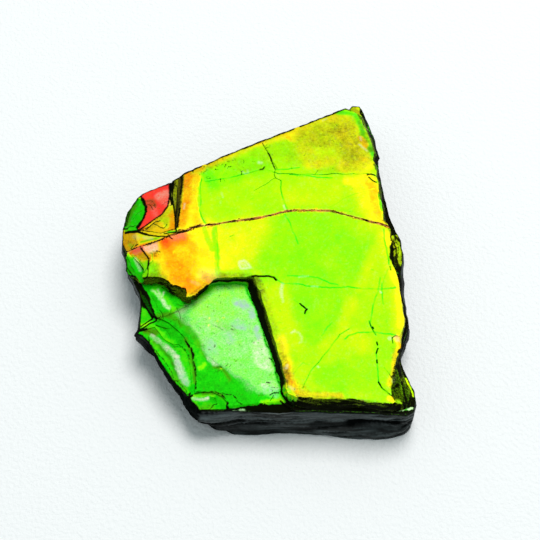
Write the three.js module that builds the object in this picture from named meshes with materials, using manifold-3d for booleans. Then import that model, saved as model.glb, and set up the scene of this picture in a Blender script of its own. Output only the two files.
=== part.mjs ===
// Ammolite specimen: a broken slab of dark shale that carries two sheets of iridescent
// fossil shell. The lower sheet covers the slab, and the upper, thicker sheet lies on it.
// A corner of the upper sheet has broken away, so the lower sheet shows at the foot of
// a step there, and on small ledges along the slab's right side.
// Millimetres, +Z up. The origin is under the middle of the slab, on its resting face.
import * as THREE from 'three';
import { mergeVertices } from 'three/addons/utils/BufferGeometryUtils.js';
import { ImprovedNoise } from 'three/addons/math/ImprovedNoise.js';
import loadManifold from 'manifold-3d';

// Levels above the resting face. The shale is 5.3 thick, the sheets 0.7 and 1.8.
const SHALE_TOP = 5.3;
const LOWER_TOP = 6.0;
const UPPER_TOP = 7.8;

// Broken edges are cut into runs of about this length, each knocked a little out of line.
const EDGE_RUN = 0.9;
const EDGE_JAG = 0.07;

// The shale splits along its bedding, which leaves low ledges round its sides.
const BEDDING_LEVELS = [0, 0.3, 0.9, 1.5, 2.1, 2.7, 3.2, 3.8, 4.3, 4.9, SHALE_TOP];
const BEDDING_RELIEF = 0.22;

// The upper part of the shale's sides is sheer; below it they run to the resting face.
const SHEER_PART = 0.25;

// A scoop in the front wall, near its right end: middle, half sizes and depth.
const SCOOP = { x: 12.6, z: 2.3, halfWidth: 3.0, halfHeight: 1.1, depth: 0.75 };

// The hairline break that runs right across the upper sheet.
const CRACK_WIDTH = 0.34;
const CRACK_DEPTH = 0.28;

// Rim of the shale slab at SHALE_TOP, clockwise from the far tip: x, y, and how far the
// lower sheet's edge stands back from it.
const SLAB_RIM = [
  [10.2, 21.2, 0.1], [11.2, 22.3, 0.1], [12.3, 22.4, 0.15], [12.7, 21.6, 0.15],
  [13.3, 19.8, 0.2], [14.1, 17.4, 0.2], [14.4, 14.8, 0.15], [14.4, 12.8, 0.15],
  [14.9, 9.6, 0.1], [15.2, 7.8, 0.1], [15.5, 6.0, 0.15], [16.4, 3.5, 0.15],
  [16.9, 2.2, 0.15], [17.1, 0.6, 0.2], [17.1, -0.7, 0.25], [17.0, -2.4, 0.6],
  [16.9, -5.0, 0.5], [17.1, -6.8, 0.3], [17.3, -9.4, 0.2], [17.2, -10.5, 0.2],
  [16.7, -11.8, 0.25], [16.2, -13.0, 0.05], [16.1, -14.1, 0.1], [16.4, -15.2, 0.15],
  [17.0, -16.5, 0.15], [17.7, -18.1, 0.15], [17.8, -19.4, 0.15], [17.4, -20.6, 0.1],
  [16.6, -21.1, 0.1], [14.2, -21.0, 0.1], [10.1, -20.8, 0.1], [6.9, -20.6, 0.1],
  [1.6, -20.7, 0.1], [-1.1, -20.6, 0.1], [-3.8, -20.5, 0.1], [-5.6, -20.5, 0.1],
  [-7.8, -20.5, 0.1], [-9.0, -19.1, 0.1], [-11.4, -16.3, 0.1], [-12.8, -14.1, 0.1],
  [-13.9, -12.1, 0.2], [-15.2, -11.0, 0.5], [-15.9, -10.5, 0.6], [-15.5, -9.7, 0.25],
  [-15.4, -8.2, 0.1], [-15.3, -6.6, 0.1], [-15.6, -4.9, 0.1], [-16.5, -3.1, 0.1],
  [-17.2, -1.9, 0.1], [-17.3, -0.7, 0.1], [-17.6, 0.4, 0.1], [-17.9, 1.4, 0.1],
  [-18.0, 3.8, 0.1], [-17.5, 6.2, 0.1], [-16.3, 8.3, 0.1], [-15.2, 9.0, 0.1],
  [-11.8, 10.5, 0.1], [-3.4, 14.8, 0.1], [6.8, 19.5, 0.1],
];

// Outline of the resting face. The front spreads, the near left corner is undercut.
const SLAB_BASE = [
  [10.4, 20.9], [12.0, 21.3], [12.9, 19.4], [13.8, 16.6], [14.1, 13.2], [14.6, 9.6],
  [15.3, 6.2], [16.4, 2.6], [16.9, -0.4], [16.9, -5.6], [16.9, -8.0], [16.6, -10.2],
  [16.3, -11.9], [16.5, -13.3], [17.1, -15.0], [17.8, -17.2], [17.8, -18.9],
  [17.5, -20.4], [16.6, -21.3], [15.1, -21.8], [13.5, -22.0], [10.3, -21.8],
  [7.1, -21.4], [1.6, -21.1], [-1.1, -21.3], [-3.9, -21.2], [-5.8, -20.2],
  [-7.2, -18.5], [-8.3, -16.9], [-9.7, -14.9], [-11.3, -12.9], [-13.2, -11.4],
  [-14.7, -10.3], [-14.7, -9.3], [-14.3, -7.8], [-14.1, -6.4], [-14.5, -4.3], [-15.3, -2.5],
  [-16.7, 0.4], [-17.1, 3.6], [-16.7, 5.9], [-15.7, 7.7], [-14.8, 8.4],
  [-11.6, 10.0], [-3.2, 14.4], [6.9, 19.1],
];

// Edge of the upper sheet, clockwise from the near end of its left side. Each stretch has
// the rim of the top face and either the foot of the broken edge, point by point, or
// `lean`, how far the whole foot lies outside the rim.
const UPPER_EDGE = [
  { // chipped far left corner
    lean: [-0.05, 0.02],
    rim: [[-17.3, 0.3], [-17.7, 1.3], [-17.8, 3.6], [-17.3, 6.1], [-16.2, 8.1]],
  },
  { // straight back edge
    lean: [-0.06, 0.12],
    rim: [[-15.1, 8.8], [-11.7, 10.2], [-3.3, 14.5], [6.9, 19.2], [10.2, 20.7]],
  },
  { // right side, upper half
    lean: [0.85, 0.3],
    rim: [[11.0, 20.4], [12.0, 19.7], [12.7, 17.5], [13.5, 15.0], [13.7, 13.9]],
  },
  {
    lean: [0.55, 0.1],
    rim: [[13.5, 12.9], [13.9, 11.5], [13.9, 10.5], [14.2, 9.5], [14.2, 8.0], [14.5, 5.6],
      [14.6, 3.9]],
  },
  { // over the ledge where the lower sheet comes out
    lean: [0.3, 0],
    rim: [[15.0, 3.3], [15.3, 2.5], [15.4, 1.2], [15.2, -0.3], [15.3, -2.0]],
  },
  { // right side, lower half
    lean: [0.3, 0],
    rim: [[15.8, -3.2], [16.0, -4.5], [16.3, -7.2], [16.6, -9.4], [16.4, -10.4],
      [16.1, -11.4]],
  },
  { // notch and the long break of the near right corner
    rim: [[15.9, -12.4], [16.0, -13.4], [15.8, -14.0], [15.4, -14.6], [15.2, -16.0],
      [14.9, -17.2], [14.6, -18.6], [14.6, -19.5], [15.0, -20.3]],
    foot: [[16.2, -12.4], [16.0, -13.4], [15.9, -14.1], [16.0, -14.8], [16.3, -15.9],
      [16.7, -17.1], [17.2, -18.4], [17.3, -19.4], [17.0, -20.3]],
  },
  { // front
    lean: [0, -0.28],
    rim: [[14.7, -20.6], [13.6, -20.6], [12.0, -20.4], [10.5, -20.1]],
  },
  {
    lean: [-0.05, -0.65],
    rim: [[8.4, -19.9], [4.4, -19.8]],
  },
  {
    lean: [-0.3, -0.4],
    rim: [[3.4, -19.6], [2.7, -19.2]],
  },
  { // right wall of the step, which slopes
    rim: [[2.4, -18.5], [2.3, -17.0], [1.5, -13.8], [0.6, -10.5], [-0.4, -6.8], [-1.4, -3.9]],
    foot: [[1.8, -18.5], [1.7, -17.0], [0.8, -13.8], [-0.3, -10.5], [-1.4, -6.8],
      [-2.4, -4.1]],
  },
  { // back wall of the step, sheer, then a little undercut
    lean: [-0.1, 0.05],
    rim: [[-3.4, -3.9], [-5.8, -4.05]],
  },
  {
    lean: [-0.28, 0.3],
    rim: [[-6.4, -4.4], [-7.3, -5.3], [-8.3, -6.2], [-9.1, -6.8]],
  },
  { // ragged left wall of the step
    rim: [[-9.6, -6.4], [-9.8, -5.6], [-10.8, -5.2], [-11.6, -4.9], [-12.0, -4.4],
      [-12.8, -4.0], [-14.3, -4.0]],
    foot: [[-9.9, -6.5], [-10.3, -6.1], [-11.0, -5.6], [-11.8, -5.1], [-12.2, -4.6],
      [-12.9, -4.1], [-14.4, -4.0]],
  },
  { // left side, round the nose
    lean: [-0.05, -0.05],
    rim: [[-15.2, -3.9], [-15.8, -3.3], [-16.7, -2.9], [-17.2, -2.1], [-17.2, -1.0],
      [-17.0, -0.3]],
  },
];

// Chips in the upper sheet. Each takes off everything above the plane through three
// points, inside its outline.
const UPPER_CHIPS = [
  { // steep drop from the plateau to the chipped corner
    outline: [[-9.8, 11.6], [-10.4, 8.0], [-10.8, 5.0], [-10.9, 3.2], [-11.3, 3.0],
      [-11.5, 5.0], [-12.0, 8.0], [-12.2, 11.0]],
    plane: [[-10.3, 10.8, 7.8], [-10.9, 3.2, 7.8], [-11.8, 8.0, 6.9]],
  },
  { // broad facet below it
    outline: [[-11.7, 11.2], [-11.8, 8.0], [-11.3, 5.0], [-11.2, 3.0], [-13.0, 2.5],
      [-15.9, 3.1], [-14.9, 3.9], [-13.1, 5.4], [-12.4, 6.6], [-12.2, 8.4], [-13.0, 11.0]],
    plane: [[-11.3, 4.0, 7.15], [-11.9, 9.0, 6.85], [-15.4, 3.2, 6.95]],
  },
  { // facet against the back edge
    outline: [[-11.9, 11.5], [-12.1, 8.4], [-12.3, 6.6], [-13.0, 5.4], [-14.8, 3.9],
      [-15.8, 3.1], [-16.1, 3.6], [-15.3, 4.8], [-15.0, 6.5], [-15.7, 7.9], [-16.4, 9.5]],
    plane: [[-12.0, 8.0, 6.8], [-15.4, 3.6, 6.9], [-14.6, 9.0, 6.5]],
  },
  { // outermost facet
    outline: [[-16.2, 9.6], [-15.6, 7.9], [-14.9, 6.5], [-15.2, 4.8], [-15.9, 3.0],
      [-19.0, 3.2], [-19.0, 9.0]],
    plane: [[-15.2, 6.5, 6.72], [-16.2, 3.6, 6.85], [-17.5, 6.0, 6.25]],
  },
  { // thin wedge between the facets and the long crack
    outline: [[-11.0, 2.25], [-11.2, 3.1], [-13.0, 2.7], [-15.7, 3.3], [-17.0, 3.6],
      [-16.1, 2.0], [-16.9, -0.1], [-15.5, 0.4], [-13.6, 1.0], [-12.4, 1.65]],
    plane: [[-11.1, 2.6, 7.6], [-15.5, 3.1, 7.1], [-15.4, 0.6, 7.45]],
  },
  { // round facet on the left tip
    outline: [[-16.7, 3.5], [-15.8, 2.6], [-15.8, 0.9], [-16.7, -0.1], [-19.0, -0.4],
      [-19.0, 3.5]],
    plane: [[-16.4, 2.8, 7.0], [-16.6, 0.6, 7.1], [-17.8, 1.8, 6.55]],
  },
  { // sag of the left side below the long crack
    outline: [[-18.0, -0.6], [-16.9, -0.1], [-15.5, 0.4], [-14.3, -1.4], [-14.5, -4.8],
      [-16.0, -4.8]],
    plane: [[-14.5, -0.6, 7.74], [-14.5, -3.6, 7.68], [-17.0, -0.2, 7.35]],
  },
  { // rounded nose below the sag: its crown, its outer side and its foot
    outline: [[-19.0, -0.4], [-17.0, -0.15], [-16.2, -1.0], [-15.5, -1.8], [-14.9, -2.7],
      [-15.1, -4.6], [-19.0, -4.6]],
    plane: [[-16.3, -0.9, 7.3], [-15.1, -3.0, 6.95], [-16.8, -1.6, 7.1]],
  },
  {
    outline: [[-19.0, 0.0], [-17.2, -0.3], [-16.8, -1.2], [-16.4, -2.0], [-15.9, -3.0],
      [-15.6, -4.6], [-19.0, -4.6]],
    plane: [[-16.8, -1.2, 7.05], [-16.0, -2.8, 6.85], [-17.3, -1.8, 6.5]],
  },
  {
    outline: [[-16.6, -3.4], [-16.0, -2.7], [-15.1, -2.9], [-14.8, -3.6], [-15.0, -4.8],
      [-16.6, -4.6]],
    plane: [[-15.8, -2.8, 6.95], [-15.1, -3.0, 6.95], [-15.3, -4.0, 6.35]],
  },
];

// Breakage of the lower sheet where the step bares it.
const LOWER_CHIPS = [
  { // dark break down to the green ledge
    outline: [[-16.8, -3.2], [-15.8, -3.6], [-15.0, -4.7], [-14.3, -6.2], [-13.4, -8.4],
      [-13.8, -8.6], [-14.8, -7.0], [-16.0, -4.9], [-19.0, -4.0]],
    plane: [[-15.0, -4.7, 6.0], [-13.5, -8.3, 6.0], [-15.0, -6.6, 5.45]],
  },
  { // green ledge
    outline: [[-15.9, -4.5], [-14.7, -6.8], [-13.7, -8.4], [-15.2, -9.55], [-17.0, -9.0],
      [-17.0, -5.0]],
    plane: [[-14.0, -8.2, 5.5], [-15.2, -6.2, 5.45], [-15.3, -9.0, 5.4]],
  },
  { // first terrace down to the near left edge
    outline: [[-13.7, -8.3], [-12.6, -8.7], [-11.7, -9.2], [-10.0, -10.8], [-9.1, -12.2],
      [-8.7, -14.4], [-8.3, -16.3], [-8.4, -18.4], [-10.0, -20.0], [-17.5, -11.5],
      [-15.6, -9.4]],
    plane: [[-12.0, -9.0, 5.78], [-8.6, -16.6, 5.76], [-14.6, -10.8, 5.62]],
  },
  { // second terrace
    outline: [[-13.4, -9.6], [-12.3, -11.2], [-11.1, -12.0], [-10.5, -11.9], [-9.4, -13.1],
      [-9.0, -15.0], [-8.8, -17.0], [-9.0, -18.6], [-10.4, -19.6], [-17.5, -12.0],
      [-15.8, -10.2]],
    plane: [[-12.0, -11.4, 5.6], [-9.0, -16.0, 5.58], [-14.0, -12.2, 5.44]],
  },
  { // shell-shaped chip at the near left corner
    outline: [[-8.4, -18.4], [-7.3, -18.2], [-6.2, -18.3], [-5.2, -18.8], [-4.6, -19.5],
      [-4.4, -21.5], [-8.5, -22.0], [-10.4, -19.6]],
    plane: [[-7.3, -18.3, 5.72], [-4.8, -19.6, 5.74], [-7.6, -20.4, 5.45]],
  },
  { // broken front edge, between that chip and the foot of the upper sheet
    outline: [[-4.7, -19.9], [0.9, -19.3], [1.6, -19.3], [2.1, -19.8], [2.9, -20.3],
      [3.6, -20.6], [3.6, -21.5], [-4.3, -21.5]],
    plane: [[-4.6, -20.1, 6.0], [1.2, -19.5, 6.0], [-0.6, -20.6, 5.5]],
  },
];

// Course of the long crack across the upper sheet.
const LONG_CRACK = [
  [-17.4, -0.3], [-15.5, 0.4], [-13.6, 1.0], [-12.4, 1.7], [-10.9, 2.3], [-9.8, 2.5],
  [-8.8, 3.1], [-6.6, 3.4], [-4.5, 3.8], [-0.7, 4.4], [0.8, 4.8], [2.4, 5.3], [3.6, 5.4],
  [5.5, 5.3], [8.0, 5.0], [10.4, 4.3], [12.9, 3.4], [14.5, 3.0], [15.9, 2.6],
];

const manifold = await loadManifold();
manifold.setup();
const grain = new ImprovedNoise();

// A closed polyline cut into runs of about EDGE_RUN. Points may carry extra values, which
// are blended along with the place.
function cutIntoRuns(points) {
  const cut = [];
  points.forEach((from, i) => {
    const to = points[(i + 1) % points.length];
    const length = Math.hypot(to[0] - from[0], to[1] - from[1]);
    const runs = Math.max(1, Math.round(length / EDGE_RUN));
    for (let k = 0; k < runs; k += 1) {
      cut.push(from.map((value, axis) => THREE.MathUtils.lerp(value, to[axis], k / runs)));
    }
  });
  return cut;
}

// Outward unit normals of a clockwise closed polyline, one at each point.
function outwardNormals(points) {
  return points.map((point, i) => {
    const before = points.at(i - 1);
    const after = points[(i + 1) % points.length];
    return new THREE.Vector2(before[1] - after[1], after[0] - before[0]).normalize();
  });
}

// Where the ray from the origin through (x, y) meets a closed outline round the origin.
function reachAlong(x, y, outline) {
  let reach = 0;
  outline.forEach((from, i) => {
    const to = outline[(i + 1) % outline.length];
    const edge = [to[0] - from[0], to[1] - from[1]];
    const across = x * edge[1] - y * edge[0];
    if (across === 0) return;
    const alongRay = (from[0] * edge[1] - from[1] * edge[0]) / across;
    const alongEdge = (from[0] * y - from[1] * x) / across;
    if (alongRay > 0 && alongEdge >= 0 && alongEdge <= 1) reach = Math.max(reach, alongRay);
  });
  return new THREE.Vector2(x * reach, y * reach);
}

// A closed solid through rings of equal length, lowest first, each clockwise from above.
function loft(rings) {
  const size = rings[0].length;
  const positions = rings.flat().flatMap((point) => point.toArray());
  const index = [];
  for (let ring = 0; ring + 1 < rings.length; ring += 1) {
    for (let i = 0; i < size; i += 1) {
      const low = ring * size + i;
      const lowNext = ring * size + ((i + 1) % size);
      index.push(low, low + size, lowNext, lowNext, low + size, lowNext + size);
    }
  }
  const addCap = (ring, facesUp) => {
    const flat = rings[ring].map((point) => new THREE.Vector2(point.x, point.y));
    THREE.ShapeUtils.triangulateShape(flat, []).forEach(([a, b, c]) => {
      const side = new THREE.Vector2().subVectors(flat[b], flat[a])
        .cross(new THREE.Vector2().subVectors(flat[c], flat[a]));
      const corners = (side > 0) === facesUp ? [a, b, c] : [a, c, b];
      index.push(...corners.map((corner) => ring * size + corner));
    });
  };
  addCap(0, false);
  addCap(rings.length - 1, true);
  const geometry = new THREE.BufferGeometry();
  geometry.setAttribute('position', new THREE.Float32BufferAttribute(positions, 3));
  geometry.setIndex(index);
  return geometry;
}

function toSolid(geometry) {
  const welded = mergeVertices(geometry, 1e-4);
  return new manifold.Manifold(new manifold.Mesh({
    numProp: 3,
    vertProperties: new Float32Array(welded.attributes.position.array),
    triVerts: new Uint32Array(welded.index.array),
  }));
}

function toGeometry(solid) {
  const { vertProperties, triVerts } = solid.getMesh();
  const geometry = new THREE.BufferGeometry();
  geometry.setAttribute('position', new THREE.BufferAttribute(vertProperties, 3));
  geometry.setIndex(new THREE.BufferAttribute(triVerts, 1));
  return geometry;
}

// What a chip takes off: a prism over its outline, from its plane to well above the slab.
function chipCutter({ outline, plane }) {
  const [a, b, c] = plane.map((point) => new THREE.Vector3(...point));
  const floor = new THREE.Plane().setFromCoplanarPoints(a, b, c);
  const clockwise = THREE.ShapeUtils.isClockWise(outline.map(([x, y]) => ({ x, y })));
  const ordered = clockwise ? outline : [...outline].reverse();
  const heightAt = (x, y) => -(floor.constant + floor.normal.x * x + floor.normal.y * y)
    / floor.normal.z;
  const bottom = ordered.map(([x, y]) => new THREE.Vector3(x, y, heightAt(x, y)));
  const top = ordered.map(([x, y]) => new THREE.Vector3(x, y, UPPER_TOP + 2));
  return toSolid(loft([bottom, top]));
}

// What a crack takes out of a face at height `level`: a wedge that follows its course.
function crackCutter(course, level) {
  const positions = [];
  course.forEach(([x, y], i) => {
    const before = course[Math.max(i - 1, 0)];
    const after = course[Math.min(i + 1, course.length - 1)];
    const side = new THREE.Vector2(before[1] - after[1], after[0] - before[0]).normalize();
    side.multiplyScalar(CRACK_WIDTH / 2);
    positions.push(x - side.x, y - side.y, level, x, y, level - CRACK_DEPTH);
    positions.push(x + side.x, y + side.y, level, x, y, level + 1);
  });
  const corners = 4;
  const index = [0, 2, 1, 0, 3, 2];
  for (let i = 0; i + 1 < course.length; i += 1) {
    for (let k = 0; k < corners; k += 1) {
      const here = i * corners + k;
      const next = i * corners + ((k + 1) % corners);
      index.push(here, next, next + corners, here, next + corners, here + corners);
    }
  }
  const end = (course.length - 1) * corners;
  index.push(end, end + 1, end + 2, end, end + 2, end + 3);
  const geometry = new THREE.BufferGeometry();
  geometry.setAttribute('position', new THREE.Float32BufferAttribute(positions, 3));
  geometry.setIndex(index);
  return toSolid(geometry);
}

// How far the shale's side stands out or in at a point of its wall.
function shaleRelief(x, y, z) {
  const bedding = grain.noise(x * 0.16 + 3, y * 0.16, z * 0.9);
  const rough = grain.noise(x * 0.7, y * 0.7 + 5, z * 1.7);
  let relief = BEDDING_RELIEF * (1.4 * bedding + 0.7 * rough);
  if (y < -19) {
    const across = (x - SCOOP.x) / SCOOP.halfWidth;
    const upward = (z - SCOOP.z) / SCOOP.halfHeight;
    relief -= SCOOP.depth * Math.exp(-across * across - upward * upward);
  }
  return relief;
}

function makeShaleMatrix(rim) {
  const normals = outwardNormals(rim);
  const base = rim.map(([x, y]) => reachAlong(x, y, SLAB_BASE));
  const rings = BEDDING_LEVELS.map((z) => rim.map(([x, y], i) => {
    const depth = 1 - z / SHALE_TOP;
    const inner = THREE.MathUtils.smoothstep(depth, SHEER_PART, 1);
    const place = new THREE.Vector2(x, y).lerp(base[i], inner);
    const free = 0.35 + 0.65 * Math.sin(Math.PI * depth);
    const relief = shaleRelief(place.x, place.y, z) * free;
    place.addScaledVector(normals[i], relief);
    return new THREE.Vector3(place.x, place.y, z);
  }));
  return loft(rings);
}

function makeLowerSheet(rim) {
  const normals = outwardNormals(rim);
  const ringAt = (z, back) => rim.map(([x, y, inset], i) => {
    const place = new THREE.Vector2(x, y).addScaledVector(normals[i], -inset * back);
    return new THREE.Vector3(place.x, place.y, z);
  });
  const middle = (SHALE_TOP + LOWER_TOP) / 2;
  let sheet = toSolid(loft([ringAt(SHALE_TOP, 0.8), ringAt(middle, 0.6), ringAt(LOWER_TOP, 1)]));
  LOWER_CHIPS.forEach((chip) => {
    sheet = sheet.subtract(chipCutter(chip));
  });
  return toGeometry(sheet);
}

function makeUpperSheet() {
  const stations = UPPER_EDGE.flatMap(({ rim, foot, lean }) => rim.map(([x, y], i) => (
    foot ? [x, y, ...foot[i]] : [x, y, x + lean[0], y + lean[1]])));
  const cut = cutIntoRuns(stations);
  const normals = outwardNormals(cut);
  // The edge breaks in steps: most of its lean is low down, under a sharper lip.
  const levels = [[LOWER_TOP, 1], [6.5, 0.82], [7.1, 0.5], [7.5, 0.2], [UPPER_TOP, 0]];
  const rings = levels.map(([z, lean]) => cut.map(([x, y, footX, footY], i) => {
    const jag = EDGE_JAG * 2 * grain.noise(x * 1.3, y * 1.3, z * 1.5);
    return new THREE.Vector3(
      THREE.MathUtils.lerp(x, footX, lean) + normals[i].x * jag,
      THREE.MathUtils.lerp(y, footY, lean) + normals[i].y * jag,
      z,
    );
  }));
  let sheet = toSolid(loft(rings));
  UPPER_CHIPS.forEach((chip) => {
    sheet = sheet.subtract(chipCutter(chip));
  });
  sheet = sheet.subtract(crackCutter(LONG_CRACK, UPPER_TOP));
  return toGeometry(sheet);
}

function jagged(rim) {
  const cut = cutIntoRuns(rim);
  const normals = outwardNormals(cut);
  return cut.map(([x, y, inset], i) => {
    const jag = EDGE_JAG * 2 * grain.noise(x * 0.9, y * 0.9, 0.5);
    return [x + normals[i].x * jag, y + normals[i].y * jag, inset];
  });
}

function addPiece(group, name, geometry, material) {
  const mesh = new THREE.Mesh(geometry, material);
  mesh.name = name;
  group.add(mesh);
}

const slabRim = jagged(SLAB_RIM);
const specimen = new THREE.Group();
addPiece(specimen, 'shale_matrix', makeShaleMatrix(slabRim), new THREE.MeshStandardMaterial({
  color: 0x2b3230, roughness: 0.75, metalness: 0,
}));
addPiece(specimen, 'lower_ammolite_sheet', makeLowerSheet(slabRim), new THREE.MeshStandardMaterial({
  color: 0x4fd048, roughness: 0.3, metalness: 0.1,
}));
addPiece(specimen, 'upper_ammolite_sheet', makeUpperSheet(), new THREE.MeshStandardMaterial({
  color: 0xa6f010, roughness: 0.25, metalness: 0.1,
}));

// Put the middle of the slab over the origin.
const reach = new THREE.Box3().setFromObject(specimen);
const middle = reach.getCenter(new THREE.Vector3());
specimen.position.set(-middle.x, -middle.y, 0);
specimen.updateMatrixWorld(true);

export default specimen;
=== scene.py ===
import bmesh
import bpy
import math
import numpy as np
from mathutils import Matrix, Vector, geometry, kdtree, noise
from mathutils.bvhtree import BVHTree
from types import SimpleNamespace


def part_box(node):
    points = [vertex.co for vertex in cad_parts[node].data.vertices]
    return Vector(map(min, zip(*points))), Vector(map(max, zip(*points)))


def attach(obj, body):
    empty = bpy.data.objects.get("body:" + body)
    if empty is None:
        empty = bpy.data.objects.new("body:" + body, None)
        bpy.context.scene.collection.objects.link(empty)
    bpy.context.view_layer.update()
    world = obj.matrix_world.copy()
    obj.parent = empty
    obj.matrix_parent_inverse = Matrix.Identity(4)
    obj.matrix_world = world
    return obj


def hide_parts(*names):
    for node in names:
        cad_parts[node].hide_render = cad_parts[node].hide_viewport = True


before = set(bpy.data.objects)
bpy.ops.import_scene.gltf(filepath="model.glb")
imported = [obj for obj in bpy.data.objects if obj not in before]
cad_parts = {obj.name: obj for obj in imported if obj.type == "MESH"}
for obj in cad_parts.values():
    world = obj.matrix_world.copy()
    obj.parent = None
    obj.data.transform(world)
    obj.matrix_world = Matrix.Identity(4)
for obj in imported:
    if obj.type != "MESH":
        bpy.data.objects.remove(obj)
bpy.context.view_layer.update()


# ---------------------------------------------------------------- the table and the light
# The specimen lies on a plain white board with a faint tooth. A broad soft lamp stands to
# its right and behind it, in a white room, and the camera looks down on it from in front.

MM = 0.001

CAMERA_TILT = math.radians(62)
CAMERA_DISTANCE = 187.5 * MM
CAMERA_AIM = Vector((0.55, -0.89, 3.5)) * MM


def place_in_scene(name, data):
    """A new object of the given data, in the scene."""
    placed = bpy.data.objects.new(name, data)
    bpy.context.scene.collection.objects.link(placed)
    return placed


toward_camera = Vector((0, -math.cos(CAMERA_TILT), math.sin(CAMERA_TILT)))
camera_data = bpy.data.cameras.new("camera")
camera_data.lens = 100
camera_data.sensor_width = 36
camera_data.clip_start = 0.01
camera = place_in_scene("camera", camera_data)
camera.location = CAMERA_AIM + toward_camera * CAMERA_DISTANCE
camera.rotation_euler = toward_camera.to_track_quat("Z", "Y").to_euler()
bpy.context.scene.camera = camera


def feed(tree, node, inputs):
    """Gives a shader node's inputs their values, or links them to the sockets given."""
    for socket, given in inputs.items():
        if isinstance(given, bpy.types.NodeSocket):
            tree.links.new(given, node.inputs[socket])
        else:
            node.inputs[socket].default_value = given


room = bpy.data.worlds.new("white room")
room.use_nodes = True
feed(room.node_tree, room.node_tree.nodes["Background"], {
    "Color": (0.86, 0.985, 0.985, 1), "Strength": 0.43})
bpy.context.scene.world = room
bpy.context.scene.view_settings.view_transform = "Standard"

LAMP_PLACE = Vector((102, 168, 570)) * MM
lamp_data = bpy.data.lights.new("soft lamp", "AREA")
lamp_data.shape = "DISK"
lamp_data.size = 340 * MM
lamp_data.energy = 2.74
lamp_data.color = (1.0, 0.972, 0.955)
lamp = place_in_scene("soft lamp", lamp_data)
lamp.location = LAMP_PLACE
lamp.rotation_euler = LAMP_PLACE.to_track_quat("Z", "Y").to_euler()


def add_node(tree, kind, inputs=None, **settings):
    """A new shader node with its settings and its inputs."""
    node = tree.nodes.new(kind)
    for setting, value in settings.items():
        setattr(node, setting, value)
    feed(tree, node, inputs or {})
    return node


def noise_over(tree, where, scale, detail, roughness=0.5):
    """Noise over the surface."""
    node = add_node(tree, "ShaderNodeTexNoise", {
        "Vector": where, "Scale": scale, "Detail": detail, "Roughness": roughness})
    return node.outputs["Fac"]


def bumped(tree, height, strength, distance):
    """A normal that stands out by a height."""
    node = add_node(tree, "ShaderNodeBump", {
        "Height": height, "Strength": strength, "Distance": distance})
    return node.outputs["Normal"]


def new_paint(name):
    """A new material: itself, its node tree, its shader and the place on the surface."""
    paint = bpy.data.materials.new(name)
    paint.use_nodes = True
    tree = paint.node_tree
    place = add_node(tree, "ShaderNodeTexCoord").outputs["Object"]
    return paint, tree, tree.nodes["Principled BSDF"], place


BOARD_REACH = 600 * MM
board_corners = [(-1, -1), (1, -1), (1, 1), (-1, 1)]
board_mesh = bpy.data.meshes.new("board")
board_mesh.from_pydata(
    [(BOARD_REACH * x, BOARD_REACH * y, 0) for x, y in board_corners], [], [(0, 1, 2, 3)])
board = place_in_scene("board", board_mesh)

board_paint, tree, board_shader, place = new_paint("white board")
tooth = noise_over(tree, place, 2100, 3)
feed(tree, board_shader, {
    "Base Color": (0.925, 0.945, 0.955, 1),
    "Roughness": 0.75,
    "Normal": bumped(tree, tooth, 0.6, 0.25 * MM),
})
board_mesh.materials.append(board_paint)


# ---------------------------------------------------------------- the shale matrix
# The slab that the shell lies on: dark, bedded marine shale, split along its beds below and
# broken across them round its sides, so its walls are drawn out in long low ledges.

# Fineness of the slab's skin, in millimetres: along its walls, and on its flat beds.
SHALE_WALL_GRAIN = 0.24
SHALE_BED_GRAIN = 1.2

# How every skin is made, in millimetres: how near its corners are welded, how fine its base
# is, how clear its points keep of a line that it follows, and where they stand beside one.
WELD = 0.002
BASE_GRAIN = 2.5
CLEAR_OF_LINE = 0.11
BESIDE_LINE = (0.07, 0.15)

# How far a face has to look up or down to be a bed of the slab, and to show from above,
# and how far an edge has to be bent to be a rim.
BED_RISE = 0.9
SHOWS_FROM_ABOVE = 0.3
RIM_ANGLE = math.radians(38)


def solid_of(node):
    """A CAD node's solid in millimetres, its corners welded."""
    solid = bmesh.new()
    solid.from_mesh(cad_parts[node].data)
    bmesh.ops.scale(solid, vec=(1 / MM,) * 3, verts=solid.verts)
    bmesh.ops.remove_doubles(solid, verts=solid.verts, dist=WELD)
    return solid


def tree_of(spots):
    """A tree that finds the nearest of some spots."""
    tree = kdtree.KDTree(max(1, len(spots)))
    for k, spot in enumerate(spots):
        tree.insert(spot, k)
    tree.balance()
    return tree


def gap_and_inside(spots, starts, ends):
    """How far spots are from a chain of runs, and which lie inside it where it closes."""
    gap = np.full(len(spots), 1e9)
    inside = np.zeros(len(spots), bool)
    for a, b in zip(starts, ends):
        run = b - a
        along = np.clip(((spots - a) @ run) / max(run @ run, 1e-12), 0, 1)
        gap = np.minimum(gap, np.linalg.norm(spots - a - along[:, None] * run, axis=1))
        crosses = (a[1] > spots[:, 1]) != (b[1] > spots[:, 1])
        reach = a[0] + (spots[:, 1] - a[1]) * run[0] / (run[1] or 1e-12)
        inside ^= crosses & (spots[:, 0] < reach)
    return gap, inside


def within(spots, outline, clear):
    """Which spots lie inside a flat outline and at least `clear` from it."""
    gap, inside = gap_and_inside(spots, outline, np.roll(outline, -1, axis=0))
    return inside & (gap > clear)


def points_inside(outline, spacing, scatter):
    """Scattered points of a triangular net inside a flat outline, clear of its edge."""
    low, high = outline.min(0), outline.max(0)
    rows = np.arange(low[1], high[1], spacing * 0.866)
    columns = np.arange(low[0], high[0], spacing)
    if not len(rows) or not len(columns):
        return np.empty((0, 2))
    x, y = np.meshgrid(columns, rows)
    x = x + (np.arange(len(rows)) % 2)[:, None] * spacing / 2
    net = np.column_stack([x.ravel(), y.ravel()])
    net += scatter.uniform(-0.22, 0.22, net.shape) * spacing
    return net[within(net, outline, 0.5 * spacing)]


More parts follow.
